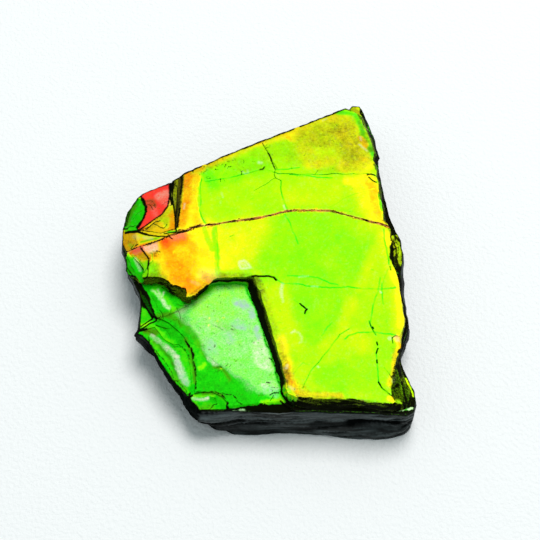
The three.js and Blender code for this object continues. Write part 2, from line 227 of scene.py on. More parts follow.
def cut_edges(solid, grain):
    """Places along a solid's edges, which of them lie between each edge's ends, and its rims."""
    places = [vert.co.copy() for vert in solid.verts]
    between, rims = {}, []
    for edge in solid.edges:
        a, b = (vert.co for vert in edge.verts)
        cuts = max(1, round((b - a).length / grain))
        between[edge] = list(range(len(places), len(places) + cuts - 1))
        places += [a.lerp(b, k / cuts) for k in range(1, cuts)]
        is_outline = min(face.normal.z for face in edge.link_faces) < SHOWS_FROM_ABOVE
        if is_outline and edge.calc_face_angle(0) > RIM_ANGLE:
            rims += [a.lerp(b, k / (3 * cuts)) for k in range(3 * cuts + 1)]
    return places, between, rims


def ring_round(face, between):
    """The numbers of the places round a face, in order."""
    ring = []
    for loop in face.loops:
        steps = between[loop.edge]
        ring.append(loop.vert.index)
        ring += steps if loop.edge.verts[0] == loop.vert else steps[::-1]
    return ring


def lines_over(face, lines, corners, flatten):
    """The points of lines in plan that lie on a face, flattened, and which are joined."""
    up, middle = face.normal, face.calc_center_median()
    follow, joined = [], []
    for line in lines:
        dropped = flatten([
            Vector((x, y, middle.z - ((x - middle.x) * up.x + (y - middle.y) * up.y) / up.z))
            for x, y in line])
        held = within(np.array(dropped), corners, 0.06)
        order = len(follow) + np.cumsum(held) - 1
        runs = [k for k in range(len(held) - 1) if held[k] and held[k + 1]]
        joined += [(order[k], order[k + 1]) for k in runs]
        follow += [spot for spot, is_on_face in zip(dropped, held) if is_on_face]
    return follow, joined


def beside(follow, joined, offsets):
    """Spots on both sides of a line's runs, at each offset from it."""
    spots = []
    for a, b in joined:
        start, end = np.array(follow[a]), np.array(follow[b])
        run = end - start
        side = np.array([-run[1], run[0]]) / max(np.linalg.norm(run), 1e-9)
        for offset in offsets:
            spots += [start + side * offset, start - side * offset]
    return np.array(spots)


def fine_skin(node, wall_grain, bed_grain, lines=(), is_hidden=None):
    """The skin of a CAD solid in small triangles, in millimetres, with its edges kept.

    Lines are courses in plan that the triangles follow where they cross an upward face.
    It holds the places, the triangles, how far the face of each triangle looks up, the
    facet that each place lies on (-1 on an edge), how far each place is from the nearest
    rim, and a tree of the facets.
    """
    solid = solid_of(node)
    bmesh.ops.dissolve_limit(
        solid, angle_limit=math.radians(0.4), verts=solid.verts, edges=solid.edges)
    solid.normal_update()
    for elements in (solid.verts, solid.edges, solid.faces):
        elements.index_update()
    places, between, rims = cut_edges(solid, wall_grain)
    scatter = np.random.default_rng(7)
    triangles, rise = [], []
    facet = [-1] * len(places)
    for face in solid.faces:
        up, middle = face.normal, face.calc_center_median()
        across = up.orthogonal().normalized()
        if up.z > SHOWS_FROM_ABOVE:
            across = Vector((1, 0, 0)).cross(up).cross(up).normalized() * -1
        away = up.cross(across)

        def flatten(spots):
            return [((s - middle).dot(across), (s - middle).dot(away)) for s in spots]

        def lift(spots):
            return [middle + across * float(s[0]) + away * float(s[1]) for s in spots]

        ring = ring_round(face, between)
        outline = flatten([places[k] for k in ring])
        corners = np.array(flatten([vert.co for vert in face.verts]))
        grain = bed_grain if abs(up.z) > 0.6 else wall_grain
        if up.z < -BED_RISE:
            grain = BASE_GRAIN
        seeds = points_inside(corners, grain, scatter)
        if is_hidden and up.z > BED_RISE:
            keep = [not is_hidden(p) or k % 40 == 0 for k, p in enumerate(lift(seeds))]
            seeds = seeds[keep]
        follow, joined = [], []
        if up.z > SHOWS_FROM_ABOVE and len(corners) > 3:
            follow, joined = lines_over(face, lines, corners, flatten)
        if follow:
            near = tree_of([(x, y, 0) for x, y in follow])
            seeds = np.array([s for s in seeds if near.find((*s, 0))[2] > CLEAR_OF_LINE])
            sides = beside(follow, joined, BESIDE_LINE)
            sides = sides[within(sides, corners, 0.05)] if len(sides) else sides
            seeds = np.vstack([seeds.reshape(-1, 2), sides.reshape(-1, 2)])
        spots = outline + follow + [tuple(s) for s in seeds]
        edges = [(len(outline) + a, len(outline) + b) for a, b in joined]
        net_places, _, net_faces, origins_of, *_ = geometry.delaunay_2d_cdt(
            [Vector(s) for s in spots], edges, [list(range(len(outline)))], 1, 1e-7)
        known = ring + [None] * (len(spots) - len(ring))
        numbers = []
        for spot, origins in zip(net_places, origins_of):
            number = next((known[k] for k in origins if known[k] is not None), None)
            if number is None:
                number = len(places)
                places.append(middle + across * spot[0] + away * spot[1])
                facet.append(face.index)
            numbers.append(number)
        triangles += [[numbers[k] for k in triangle] for triangle in net_faces]
        rise += [up.z] * len(net_faces)
    facets = BVHTree.FromBMesh(solid)
    solid.free()
    rim_tree = tree_of(rims)
    from_rim = np.array([rim_tree.find(place)[2] for place in places])
    return SimpleNamespace(
        places=np.array(places), triangles=np.array(triangles), rise=np.array(rise),
        facet=np.array(facet), from_rim=from_rim, facets=facets)


def grain_at(places, size, seed, octaves=3):
    """Noise of about -1 to 1 at each place. Size is its lumps' length, one value or x, y, z."""
    shift = np.array([17.3, -9.1, 5.7]) * seed
    return np.array([noise.fractal(p, 1.0, 2.0, octaves)
                     for p in (places / np.array(size) + shift).tolist()])


def outward(skin):
    """Which way out of the solid it is in plan, at each place of its skin."""
    corners = skin.places[skin.triangles]
    facing = np.cross(corners[:, 1] - corners[:, 0], corners[:, 2] - corners[:, 0])
    ways = np.zeros_like(skin.places)
    for k in range(3):
        np.add.at(ways, skin.triangles[:, k], facing)
    ways[:, 2] = 0
    return ways / np.maximum(np.linalg.norm(ways, axis=1), 1e-9)[:, None]


def touching(skin, chosen):
    """Which places belong to at least one of the chosen triangles."""
    hit = np.zeros(len(skin.places), bool)
    hit[skin.triangles[chosen].ravel()] = True
    return hit


def make_piece(name, skin, marks, paint, smooth_below):
    """The finished piece: its mesh in metres, its marks, its material and its place."""
    mesh = bpy.data.meshes.new(name)
    mesh.from_pydata((skin.places * MM).tolist(), [], skin.triangles.tolist())
    for mark, values in marks.items():
        layer = mesh.attributes.new(mark, "FLOAT", "POINT")
        layer.data.foreach_set("value", np.clip(values, 0, 1).astype(np.float32))
    mesh.polygons.foreach_set("use_smooth", [True] * len(mesh.polygons))
    mesh.set_sharp_from_angle(angle=math.radians(smooth_below))
    mesh.materials.append(paint)
    piece = place_in_scene(name, mesh)
    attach(piece, "root")
    return piece


def covered(places, course, reach, soft, filled=False):
    """How far each place is covered by a stroke along a course, or by its filled outline.

    It is 1 within `reach` of the course and fades to 0 over the next `soft` millimetres.
    """
    course = np.array(course, float).reshape(-1, 2)
    starts, ends = course[:-1], course[1:]
    if filled:
        starts, ends = course, np.roll(course, -1, axis=0)
    if len(course) == 1:
        starts, ends = course, course
    margin = reach + soft
    near = np.all((places > course.min(0) - margin) & (places < course.max(0) + margin), axis=1)
    gap, inside = gap_and_inside(places[near], starts, ends)
    if filled:
        gap[inside] = 0
    fade = np.clip(1 - (gap - reach) / soft, 0, 1)
    cover = np.zeros(len(places))
    cover[near] = fade * fade * (3 - 2 * fade)
    return cover


def ease(values, target, amount):
    """Brings values towards a target, by an amount at each place."""
    values += (target - values) * amount


def lay(values, strokes, places):
    """Lays strokes over values in order: value, strength, reach, soft, course, filled."""
    for value, strength, reach, soft, course, *filled in strokes:
        ease(values, value, covered(places, course, reach, soft, bool(filled)) * strength)


shale = fine_skin("shale_matrix", SHALE_WALL_GRAIN, SHALE_BED_GRAIN)
on_wall = touching(shale, np.abs(shale.rise) < BED_RISE)
on_bed = touching(shale, np.abs(shale.rise) >= BED_RISE)
shale_x, shale_y, shale_z = shale.places.T.copy()

# Beds stand out and fall back by turns; splinters run along them. Ripples spread from a
# shell-shaped break in the front wall.
BED_TILT = 0.16
RIPPLE_MIDDLE = (-8.8, 4.9)
tilted = shale.places.copy()
tilted[:, 2] -= BED_TILT * np.maximum(shale_x - 3, 0)
beds = grain_at(tilted, (9, 9, 0.55), 1, 3)
splinters = grain_at(tilted, (1.6, 1.6, 0.22), 2, 3)
lumps = grain_at(shale.places, 1.3, 3, 2)
from_break = np.hypot(shale_x - RIPPLE_MIDDLE[0], 1.3 * (shale_z - RIPPLE_MIDDLE[1]))
ripples = np.sin(from_break * 9.5 + 2.0 * lumps) * np.clip(1.6 - from_break / 2.4, 0, 1)
push = on_wall * (0.13 * beds + 0.075 * splinters + 0.06 * lumps + 0.05 * ripples)
push[on_bed & on_wall] *= 0.5

# The near left corner swells out low down.
SWELLING = 0.9
SWELLING_MIDDLE = (-7.2, -19.6)
from_middle = np.hypot(shale_x - SWELLING_MIDDLE[0], shale_y - SWELLING_MIDDLE[1])
low_down = np.clip(shale_z / 0.8, 0, 1) * np.clip(1.7 - shale_z / 3.2, 0, 1)
push += SWELLING * on_wall * np.clip(1.6 - from_middle / 2.6, 0, 1) * low_down

# Where the walls are deepest in shade or catch the light: value, strength, reach, soft
# border, and course along the front wall in x and z.
FRONT_SHADES = [
    (0.62, 0.9, 0.6, 1.2, [(-9.0, 0.4), (-2.0, 0.7), (5.0, 0.3)]),
    (0.75, 1.0, 0.15, 0.5, [(5.6, 2.3), (9.0, 2.5), (11.5, 2.9)]),
    (0.05, 0.8, 0.20, 0.5, [(-2.0, 4.4), (4.0, 4.5), (9.0, 4.6), (12.0, 4.7)]),
    (0.10, 0.7, 0.10, 0.4, [(10.0, 1.2), (14.0, 1.5), (16.0, 2.0)]),
    (1.00, 1.0, 0.55, 0.7, [(10.4, 2.9), (13.0, 3.2), (15.4, 3.5)]),
]
ways = outward(shale)
# Painted shade in the recesses between beds, splinters and ripples, and painted light on what
# stands out.
rough_shade = np.clip(0.45 - 1.5 * beds - 0.6 * splinters - 0.45 * ripples, 0, 1)
front_shade = rough_shade.copy()
along_front = shale.places[:, [0, 2]] + 0.18 * np.column_stack([lumps, splinters])
lay(front_shade, FRONT_SHADES, along_front)
to_the_front = np.clip(-2.5 * ways[:, 1] - 0.2, 0, 1)
hollow = rough_shade + (front_shade - rough_shade) * to_the_front
# The walls that face left are painted near black as painted shade.
near_left = np.clip(-2.9 * ways[:, 0] - 0.36, 0, 1) * np.clip(-0.15 * (shale_y + 5.0), 0, 1)
hollow = np.maximum(hollow, np.minimum(near_left, 1.0 - 0.06 * np.abs(splinters)))
shale.places += ways * push[:, None]


def reckon(tree, operation, *values, **settings):
    """The outcome of a sum on values that vary over the surface."""
    node = add_node(
        tree, "ShaderNodeMath", dict(enumerate(values)), operation=operation, **settings)
    return node.outputs["Value"]


def ranged(tree, value, low, high, start=0, end=1, **settings):
    """A value that runs from start to end, brought into the range from low to high."""
    node = add_node(tree, "ShaderNodeMapRange", {
        "Value": value, "From Min": start, "From Max": end, "To Min": low, "To Max": high,
    }, **settings)
    return node.outputs["Result"]


def mark_on(tree, mark):
    """A mark that the mesh carries."""
    return add_node(tree, "ShaderNodeAttribute", attribute_name=mark).outputs["Fac"]


def colours_along(tree, value, stops):
    """Colours by value. Each stop has a value and the colour there."""
    node = add_node(tree, "ShaderNodeValToRGB", {"Fac": value})
    while len(node.color_ramp.elements) < len(stops):
        node.color_ramp.elements.new(0.5)
    for element, (position, colour) in zip(node.color_ramp.elements, stops):
        element.position = position
        element.color = (*colour, 1)
    return node.outputs["Color"]


def overlaid(tree, amount, below, colour):
    """A plain colour laid over what is below by an amount that varies over the surface."""
    node = add_node(tree, "ShaderNodeMix", {
        "Factor": amount, "A": below, "B": (*colour, 1)}, data_type="RGBA")
    return node.outputs["Result"]


shale_paint, tree, shale_shader, place = new_paint("dark shale")
along_beds = add_node(tree, "ShaderNodeMapping", {"Vector": place, "Scale": (260, 260, 2600)})
streaks = noise_over(tree, along_beds.outputs["Vector"], 1, 5)
grit = noise_over(tree, place, 4200, 3)
tones = colours_along(
    tree, streaks, [(0.38, (0.006, 0.009, 0.008)), (0.72, (0.092, 0.118, 0.120))])
# The painted shade darkens the shale towards black and takes away its sheen.
depth = mark_on(tree, "hollow")
feed(tree, shale_shader, {
    "Base Color": overlaid(
        tree, reckon(tree, "MULTIPLY", depth, 0.97), tones, (0.0015, 0.002, 0.0018)),
    "Specular IOR Level": ranged(tree, depth, 0.25, 0.0),
    "Roughness": ranged(tree, grit, 0.42, 0.72),
    "Normal": bumped(tree, reckon(tree, "ADD", streaks, grit), 0.6, 0.05 * MM),
})

slab = make_piece(
    "shale_slab", shale, {"hollow": hollow * on_wall}, shale_paint, smooth_below=42)
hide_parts("shale_matrix")


# ---------------------------------------------------------------- the lower sheet of shell
# The first sheet of fossil shell, bonded to the shale. It is bare only where the sheet
# above it has broken off: milky green with painted sheen, glossy, terraced by chips towards
# the outer edge.

LOWER_WALL_GRAIN = 0.17
LOWER_FACE_GRAIN = 0.14
LOWER_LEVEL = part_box("lower_ammolite_sheet")[1][2] / MM

# Cracks and creases: half width, depth, darkness, how far they stain the shell green, and
# course, in millimetres.
LOWER_CRACKS = [
    (0.09, 0.02, 0.75, 0.4, [(-6.6, -9.5), (-5.9, -9.9), (-5.2, -10.4)]),
    (0.12, 0.03, 0.95, 0.2, [(-4.1, -10.25), (-3.85, -10.4)]),
    (0.12, 0.05, 0.55, 0.3, [(-9.2, -6.9), (-10.1, -7.4), (-10.9, -8.0), (-11.8, -8.4),
        (-12.6, -8.7), (-13.1, -9.2)]),
    (0.10, 0.03, 0.75, 0.3, [(-10.8, -7.4), (-10.5, -8.0), (-10.3, -8.8)]),
    (0.10, 0.03, 0.75, 0.3, [(-12.8, -7.7), (-12.5, -8.3), (-12.4, -8.9)]),
    (0.10, 0.03, 0.70, 0.3, [(-9.6, -7.1), (-10.3, -7.1), (-10.9, -6.9)]),
    (0.10, 0.03, 0.75, 0.3, [(-10.6, -9.2), (-10.3, -9.9)]),
    (0.10, 0.02, 0.50, 0.4, [(-6.5, -14.2), (-5.6, -15.0), (-4.9, -15.8), (-4.2, -16.9)]),
    (0.09, 0.02, 0.75, 0.2, [(-5.9, -15.3), (-5.2, -15.3)]),
    (0.11, 0.02, 0.90, 0.2, [(0.4, -14.1), (0.9, -14.6)]),
    (0.14, 0.03, 0.97, 0.2, [(0.1, -17.25), (0.45, -17.3)]),
    (0.12, 0.02, 0.85, 0.2, [(0.5, -18.9), (1.0, -18.6), (1.5, -18.7)]),
    (0.10, 0.02, 0.75, 0.3, [(0.6, -19.6), (0.9, -19.0)]),
    (0.15, 0.04, 0.98, 0.2, [(-13.2, -9.0), (-13.9, -9.35), (-14.6, -9.8), (-15.1, -10.1)]),
    (0.12, 0.03, 0.90, 0.2, [(-13.2, -9.6), (-12.5, -9.9), (-12.0, -10.1)]),
    (0.09, 0.02, 0.60, 0.4, [(-12.4, -10.0), (-11.7, -10.7), (-11.4, -11.5)]),
    (0.10, 0.02, 0.70, 0.3, [(-13.9, -5.8), (-13.4, -6.6), (-13.1, -7.4)]),
    (0.10, 0.02, 0.60, 0.3, [(-11.9, -6.9), (-11.5, -7.7), (-11.6, -8.4)]),
    (0.10, 0.02, 0.55, 0.3, [(-9.0, -12.1), (-8.4, -12.5), (-7.6, -12.6)]),
]


def scratches(clusters, seed):
    """Short scratches at random. A cluster has a count, a middle, a spread and a darkness."""
    scatter = np.random.default_rng(seed)
    found = []
    for count, x, y, spread, darkness in clusters:
        for _ in range(count):
            start = np.array([x, y]) + scatter.normal(0, spread, 2)
            heading = scatter.uniform(0, math.tau)
            bend = heading + scatter.uniform(-0.9, 0.9)
            length = scatter.uniform(0.03, 0.24)
            middle = start + length * np.array([math.cos(heading), math.sin(heading)])
            end = middle + length * np.array([math.cos(bend), math.sin(bend)])
            found.append((scatter.uniform(0.05, 0.09), 0.01, darkness * scatter.uniform(0.6, 1),
                          0.1, [tuple(start), tuple(middle), tuple(end)]))
    return found


LOWER_CRACKS += scratches([
    (10, -11.6, -8.2, 0.9, 0.80), (10, -10.4, -9.6, 0.7, 0.70), (9, -8.4, -11.6, 0.7, 0.55),
    (12, -5.6, -10.0, 1.5, 0.60), (10, -3.4, -10.6, 1.3, 0.60), (9, -6.4, -13.2, 1.0, 0.45),
    (9, -5.2, -15.6, 0.6, 0.70), (10, 0.6, -18.6, 0.6, 0.75), (8, 0.5, -15.2, 0.7, 0.50),
    (9, -2.4, -13.8, 1.6, 0.40), (8, -5.8, -18.0, 1.3, 0.45), (8, -11.4, -12.2, 0.8, 0.60),
], 71)


# How far cracks stray from their courses, in millimetres, by the same noise on every run.
WOBBLE = 0.1
noise.seed_set(5)


def wander(course):
    """A course cut into short runs that stray a little to either side."""
    points = []
    for start, end in zip(course[:-1], course[1:]):
        start, end = Vector(start), Vector(end)
        cuts = max(1, round((end - start).length / 0.12))
        points += [start.lerp(end, k / cuts) for k in range(cuts)]
    points.append(Vector(course[-1]))
    strayed = []
    for point in points:
        coarse = noise.noise_vector((point.x * 0.9, point.y * 0.9, 0.3))
        fine = noise.noise_vector((point.x * 3.1, point.y * 3.1, 7.7))
        strayed.append((point.x + WOBBLE * (coarse.x + 0.45 * fine.x),
                        point.y + WOBBLE * (coarse.y + 0.45 * fine.y)))
    return strayed


# The film along a crack, where the shell is stained green.
CRACK_GREEN = 0.24


def cut_cracks(marks, places, cracks):
    """Stains the shell along its cracks. Returns how deep they cut at each place."""
    depth = np.zeros(len(places))
    flat = np.column_stack([places, np.zeros(len(places))])
    patches = np.clip(0.75 + 0.9 * grain_at(flat, 1.4, 61), 0, 1)
    for half_width, deep, darkness, green, course in cracks:
        line = wander(course)
        cover = covered(places, line, 0.0, half_width)
        depth = np.maximum(depth, deep * cover)
        stain = green * covered(places, line, 0.0, 0.15) * patches
        ease(marks["film"], CRACK_GREEN, stain)
        ink = darkness * np.clip(cover * 1.5, 0, 1) * (0.45 + 0.55 * patches)
        marks["dark"] = np.maximum(marks["dark"], ink)
    return depth


def bare_marks(skin, film):
    """A sheet's marks before anything is laid on it: its film and nothing else."""
    count = len(skin.places)
    marks = {mark: np.zeros(count) for mark in ("haze", "dull", "lilac", "dark")}
    return {"film": np.full(count, film), **marks}


def lay_on_facets(marks, skin, facets):
    """Sets marks over whole facets. Each entry has a spot on the facet and its marks."""
    for (x, y), values in facets:
        found = skin.facets.ray_cast(Vector((x, y, 50)), Vector((0, 0, -1)))[2]
        for mark, value in values.items():
            marks[mark][skin.facet == found] = value


def blend_edges(values, skin):
    """Gives each place on a facet's edge the mean of its neighbours inside the facets."""
    total = np.zeros(len(values))
    count = np.zeros(len(values))
    for a, b in ((0, 1), (1, 2), (2, 0), (1, 0), (2, 1), (0, 2)):
        own, other = skin.triangles[:, a], skin.triangles[:, b]
        inner = skin.facet[other] >= 0
        np.add.at(total, own[inner], values[other[inner]])
        np.add.at(count, own[inner], 1)
    edge = (skin.facet < 0) & (count > 0)
    values[edge] = total[edge] / count[edge]


def strayed_places(places, amount, seed):
    """Plan places shifted by noise, so that what is laid on them gets natural borders."""
    coarse = np.column_stack([grain_at(places, 2.6, seed), grain_at(places, 2.6, seed + 1)])
    fine = np.column_stack([grain_at(places, 0.5, seed + 2), grain_at(places, 0.5, seed + 3)])
    return places[:, :2] + amount * (coarse + 0.35 * fine)


# Film is the colour of the shell: 0.1 deep green, 0.22 green, 0.45 lime, 0.68 yellow, 0.8
# orange, 1 red. Each stroke has a value, strength, reach, soft border and course.
LOWER_FACETS = [
    ((-14.9, -6.0), {"film": 0.16, "dull": 0.8, "dark": 0.66}),
    ((-14.6, -8.3), {"film": 0.265}),
    ((-10.5, -14.3), {"film": 0.195}),
    ((-12.6, -13.7), {"film": 0.22}),
    ((-7.2, -19.4), {"film": 0.22}),
    ((-0.6, -20.3), {"film": 0.225}),
]
LOWER_FILM = [
    (0.19, 1.0, 0.45, 0.35, [(-14.6, -4.4), (-12.3, -5.0), (-10.3, -6.4), (-9.2, -7.2),
        (-10.7, -8.5), (-8.7, -10.3), (-8.0, -12.0), (-7.6, -13.7), (-6.4, -14.9), (-4.4, -16.3),
        (-2.9, -17.5), (-1.1, -18.9), (0.6, -19.9), (0.5, -20.9), (-8.4, -20.9), (-8.5, -16.0),
        (-10.2, -11.0), (-13.2, -9.0), (-14.3, -6.5)], True),
    (0.43, 0.9, 0.5, 1.4, [(-8.0, -7.8), (-6.0, -6.4), (-3.0, -5.6)]),
    (0.40, 0.8, 0.4, 1.4, [(-6.4, -9.4), (-4.6, -8.2), (-3.4, -8.0)]),
    (0.16, 1.0, 0.5, 0.9, [(-11.9, -9.2), (-10.9, -10.6), (-9.9, -11.6)]),
    (0.17, 0.9, 0.3, 0.9, [(-7.6, -16.2), (-6.5, -17.8), (-4.0, -18.9), (-2.2, -19.8)]),
    (0.25, 0.9, 0.3, 0.5, [(-8.1, -12.3), (-7.8, -14.2), (-7.4, -15.6)]),
    (0.15, 0.9, 0.1, 0.4, [(-12.9, -12.2), (-11.6, -13.9), (-10.6, -15.8), (-9.5, -17.9)]),
    (0.28, 0.9, 0.25, 0.3, [(-13.6, -11.8), (-12.6, -13.3), (-11.4, -15.2), (-10.2, -17.2)]),
    (0.25, 0.9, 0.25, 0.4, [(-10.6, -12.9), (-9.6, -13.6), (-9.0, -15.0), (-8.8, -17.0)]),
    (0.28, 0.9, 0.2, 0.4, [(-9.6, -17.9), (-9.0, -19.0), (-8.2, -20.0)]),
    (0.30, 0.9, 0.2, 0.5, [(-7.4, -20.2), (-6.5, -20.5)]),
    (0.16, 0.9, 0.1, 0.4, [(-6.1, -19.4), (-5.2, -19.8), (-4.9, -20.3)]),
    (0.42, 0.8, 0.05, 0.2, [(-8.6, -18.9), (-7.2, -18.9), (-6.0, -19.1)]),
    (0.52, 0.9, 0.15, 0.3, [(-14.9, -9.4), (-14.5, -9.3)]),
    (0.38, 0.8, 0.2, 0.5, [(-13.6, -5.2), (-12.2, -6.2), (-11.3, -7.4)]),
    (0.45, 0.8, 0.1, 0.3, [(-7.9, -15.6), (-7.5, -15.3), (-7.3, -14.9)]),
    (0.42, 0.7, 0.05, 0.4, [(-9.0, -9.4), (-8.1, -10.7), (-7.5, -12.2)]),
    (0.47, 0.9, 0.10, 0.4, [(-0.3, -19.75), (1.2, -19.4), (2.4, -19.4), (3.2, -19.4)]),
    (0.80, 0.8, 0.03, 0.16, [(-6.85, -8.85)]),
    (0.80, 0.8, 0.03, 0.16, [(-7.0, -9.8)]),
    (0.74, 0.7, 0.03, 0.16, [(-5.9, -9.1)]),
    (0.78, 0.7, 0.03, 0.16, [(-5.1, -8.5)]),
    (0.90, 0.8, 0.03, 0.16, [(-5.4, -15.5)]),
    (0.58, 1.0, 0.9, 0.5, [(16.0, 2.2), (16.2, 0.4), (16.2, -0.8)]),
    (0.58, 1.0, 0.2, 0.2, [(16.6, -16.6), (17.0, -17.8), (17.4, -19.0)]),
    (0.62, 1.0, 0.6, 0.4, [(11.4, 21.5), (11.9, 20.9)]),
]
# The haze is the shell's milky paleness together with painted sheen and painted highlights.
LOWER_HAZE = [
    (0.19, 1.0, 0.0, 0.35, [(-10.9, -8.0), (-7.6, -6.2), (-5.8, -4.6), (-2.3, -4.7), (-1.3, -7.3),
        (-0.2, -10.4), (0.9, -13.6), (1.6, -16.4), (1.5, -17.7), (0.6, -18.4), (-0.8, -18.5),
        (-1.9, -17.9), (-2.9, -16.9), (-3.9, -16.1), (-5.2, -15.1), (-6.5, -14.2), (-7.3, -13.2),
        (-7.7, -11.8), (-8.3, -10.3), (-9.7, -9.4)], True),
    (0.16, 0.8, 0.5, 1.2, [(-2.6, -15.2), (-1.6, -17.2), (0.0, -17.0)]),
    (0.12, 0.8, 0.6, 1.2, [(-8.2, -8.2), (-6.4, -7.0), (-4.0, -5.8), (-2.6, -6.0)]),
    (0.26, 0.7, 0.8, 1.5, [(-7.2, -9.6), (-5.2, -11.4), (-3.2, -13.0)]),
    (0.27, 0.7, 0.5, 0.9, [(-2.6, -7.6), (-2.2, -9.4), (-1.2, -11.0)]),
    (0.52, 1.0, 0.0, 0.40, [(-1.8, -12.4), (-1.0, -11.5), (-0.2, -11.5), (0.4, -12.8),
        (1.3, -15.1), (1.3, -15.9), (-0.4, -15.5), (-1.2, -14.3)], True),
    (0.48, 0.8, 0.1, 0.4, [(-0.2, -17.8), (0.8, -17.5), (1.3, -17.7)]),
    (0.42, 0.8, 0.1, 0.4, [(-6.6, -14.2), (-5.9, -14.8)]),
    (0.50, 0.9, 0.03, 0.25, [(-13.8, -5.1), (-13.1, -5.7), (-12.9, -6.2)]),
    (0.45, 0.9, 0.02, 0.22, [(-13.1, -4.9), (-12.9, -5.6), (-12.6, -6.2)]),
    (0.45, 0.9, 0.02, 0.20, [(-12.4, -5.2), (-12.7, -5.9)]),
    (0.62, 0.9, 0.10, 0.30, [(-12.5, -6.3), (-12.1, -6.9), (-11.7, -7.2)]),
    (0.50, 0.9, 0.10, 0.25, [(-13.7, -10.9), (-13.0, -11.4), (-12.2, -12.1)]),
    (0.52, 0.9, 0.16, 0.30, [(-12.2, -12.1), (-11.4, -12.9), (-10.8, -13.7)]),
    (0.55, 0.9, 0.30, 0.30, [(-10.6, -14.0), (-10.2, -15.0), (-9.8, -16.0), (-9.5, -16.9)]),
    (0.30, 0.9, 0.08, 0.25, [(-9.4, -16.9), (-9.3, -17.3)]),
    (0.66, 0.9, 0.06, 0.22, [(-8.5, -19.15), (-7.7, -19.3), (-6.8, -19.35)]),
]
LOWER_LILAC = [
    (0.50, 1.0, 0.25, 0.55, [(-3.4, -6.7), (-2.7, -6.8), (-2.3, -7.4)]),
    (0.50, 1.0, 0.20, 0.50, [(-1.9, -7.6), (-1.7, -8.6)]),
    (0.42, 1.0, 0.25, 0.60, [(-3.6, -9.4), (-3.0, -9.8), (-2.5, -10.2)]),
    (0.50, 1.0, 0.15, 0.45, [(-1.1, -10.4), (-0.9, -11.2)]),
    (0.30, 1.0, 0.35, 0.60, [(-6.6, -12.2), (-6.4, -13.2)]),
    (0.25, 1.0, 0.30, 0.70, [(-4.6, -11.0), (-4.2, -11.8)]),
    (0.22, 1.0, 0.16, 0.40, [(-10.6, -14.4), (-10.1, -15.4), (-9.5, -17.0)]),
    (0.35, 1.0, 0.20, 0.60, [(0.2, -18.3), (1.1, -18.4)]),
]
LOWER_DULL = [
    (0.07, 1.0, 3.0, 2.0, [(-12.0, -8.0), (-6.0, -12.0), (-4.0, -18.0), (1.0, -14.0)], True),
    (0.62, 1.0, 0.25, 0.4, [(-14.4, -10.2), (-13.3, -10.6)]),
    (0.50, 0.9, 0.10, 0.5, [(-12.9, -8.6), (-11.8, -8.3), (-10.9, -7.9), (-9.9, -7.5)]),
    (0.40, 0.9, 0.10, 0.5, [(-11.4, -8.6), (-10.6, -8.9), (-10.0, -9.6)]),
    (0.34, 0.9, 0.15, 0.5, [(-9.4, -9.9), (-8.6, -10.9), (-7.9, -12.4), (-7.1, -13.9)]),
    (0.50, 0.9, 0.05, 0.4, [(-6.0, -15.2), (-5.2, -15.6), (-4.2, -16.8)]),
    (0.40, 0.8, 0.05, 0.4, [(-13.2, -11.6), (-11.8, -13.4), (-10.9, -15.0), (-10.1, -16.8),
        (-9.6, -17.8)]),
    (0.55, 0.9, 0.05, 0.3, [(-9.6, -11.3), (-9.1, -12.4), (-8.75, -13.6), (-8.5, -15.2),
        (-8.35, -17.0)]),
    (0.55, 0.9, 0.05, 0.3, [(-7.2, -18.6), (-5.9, -18.75), (-5.0, -19.15)]),
    (0.25, 0.9, 0.15, 0.5, [(-11.3, -15.8), (-10.3, -17.2), (-9.6, -17.8)]),
    (0.30, 0.9, 0.20, 0.5, [(-8.2, -20.2), (-6.6, -20.5)]),
    (0.25, 0.8, 0.30, 0.7, [(-5.6, -9.6), (-4.2, -10.2)]),
    (0.35, 0.8, 0.20, 0.5, [(1.6, -19.4), (2.8, -19.5)]),
    (0.66, 0.9, 0.5, 0.6, [(16.0, 1.8), (16.3, -1.0)]),
    (0.30, 0.9, 0.1, 0.3, [(16.3, 1.4), (16.5, 0.0)]),
    (0.62, 0.9, 0.4, 0.4, [(11.4, 21.5), (11.9, 20.9)]),
]
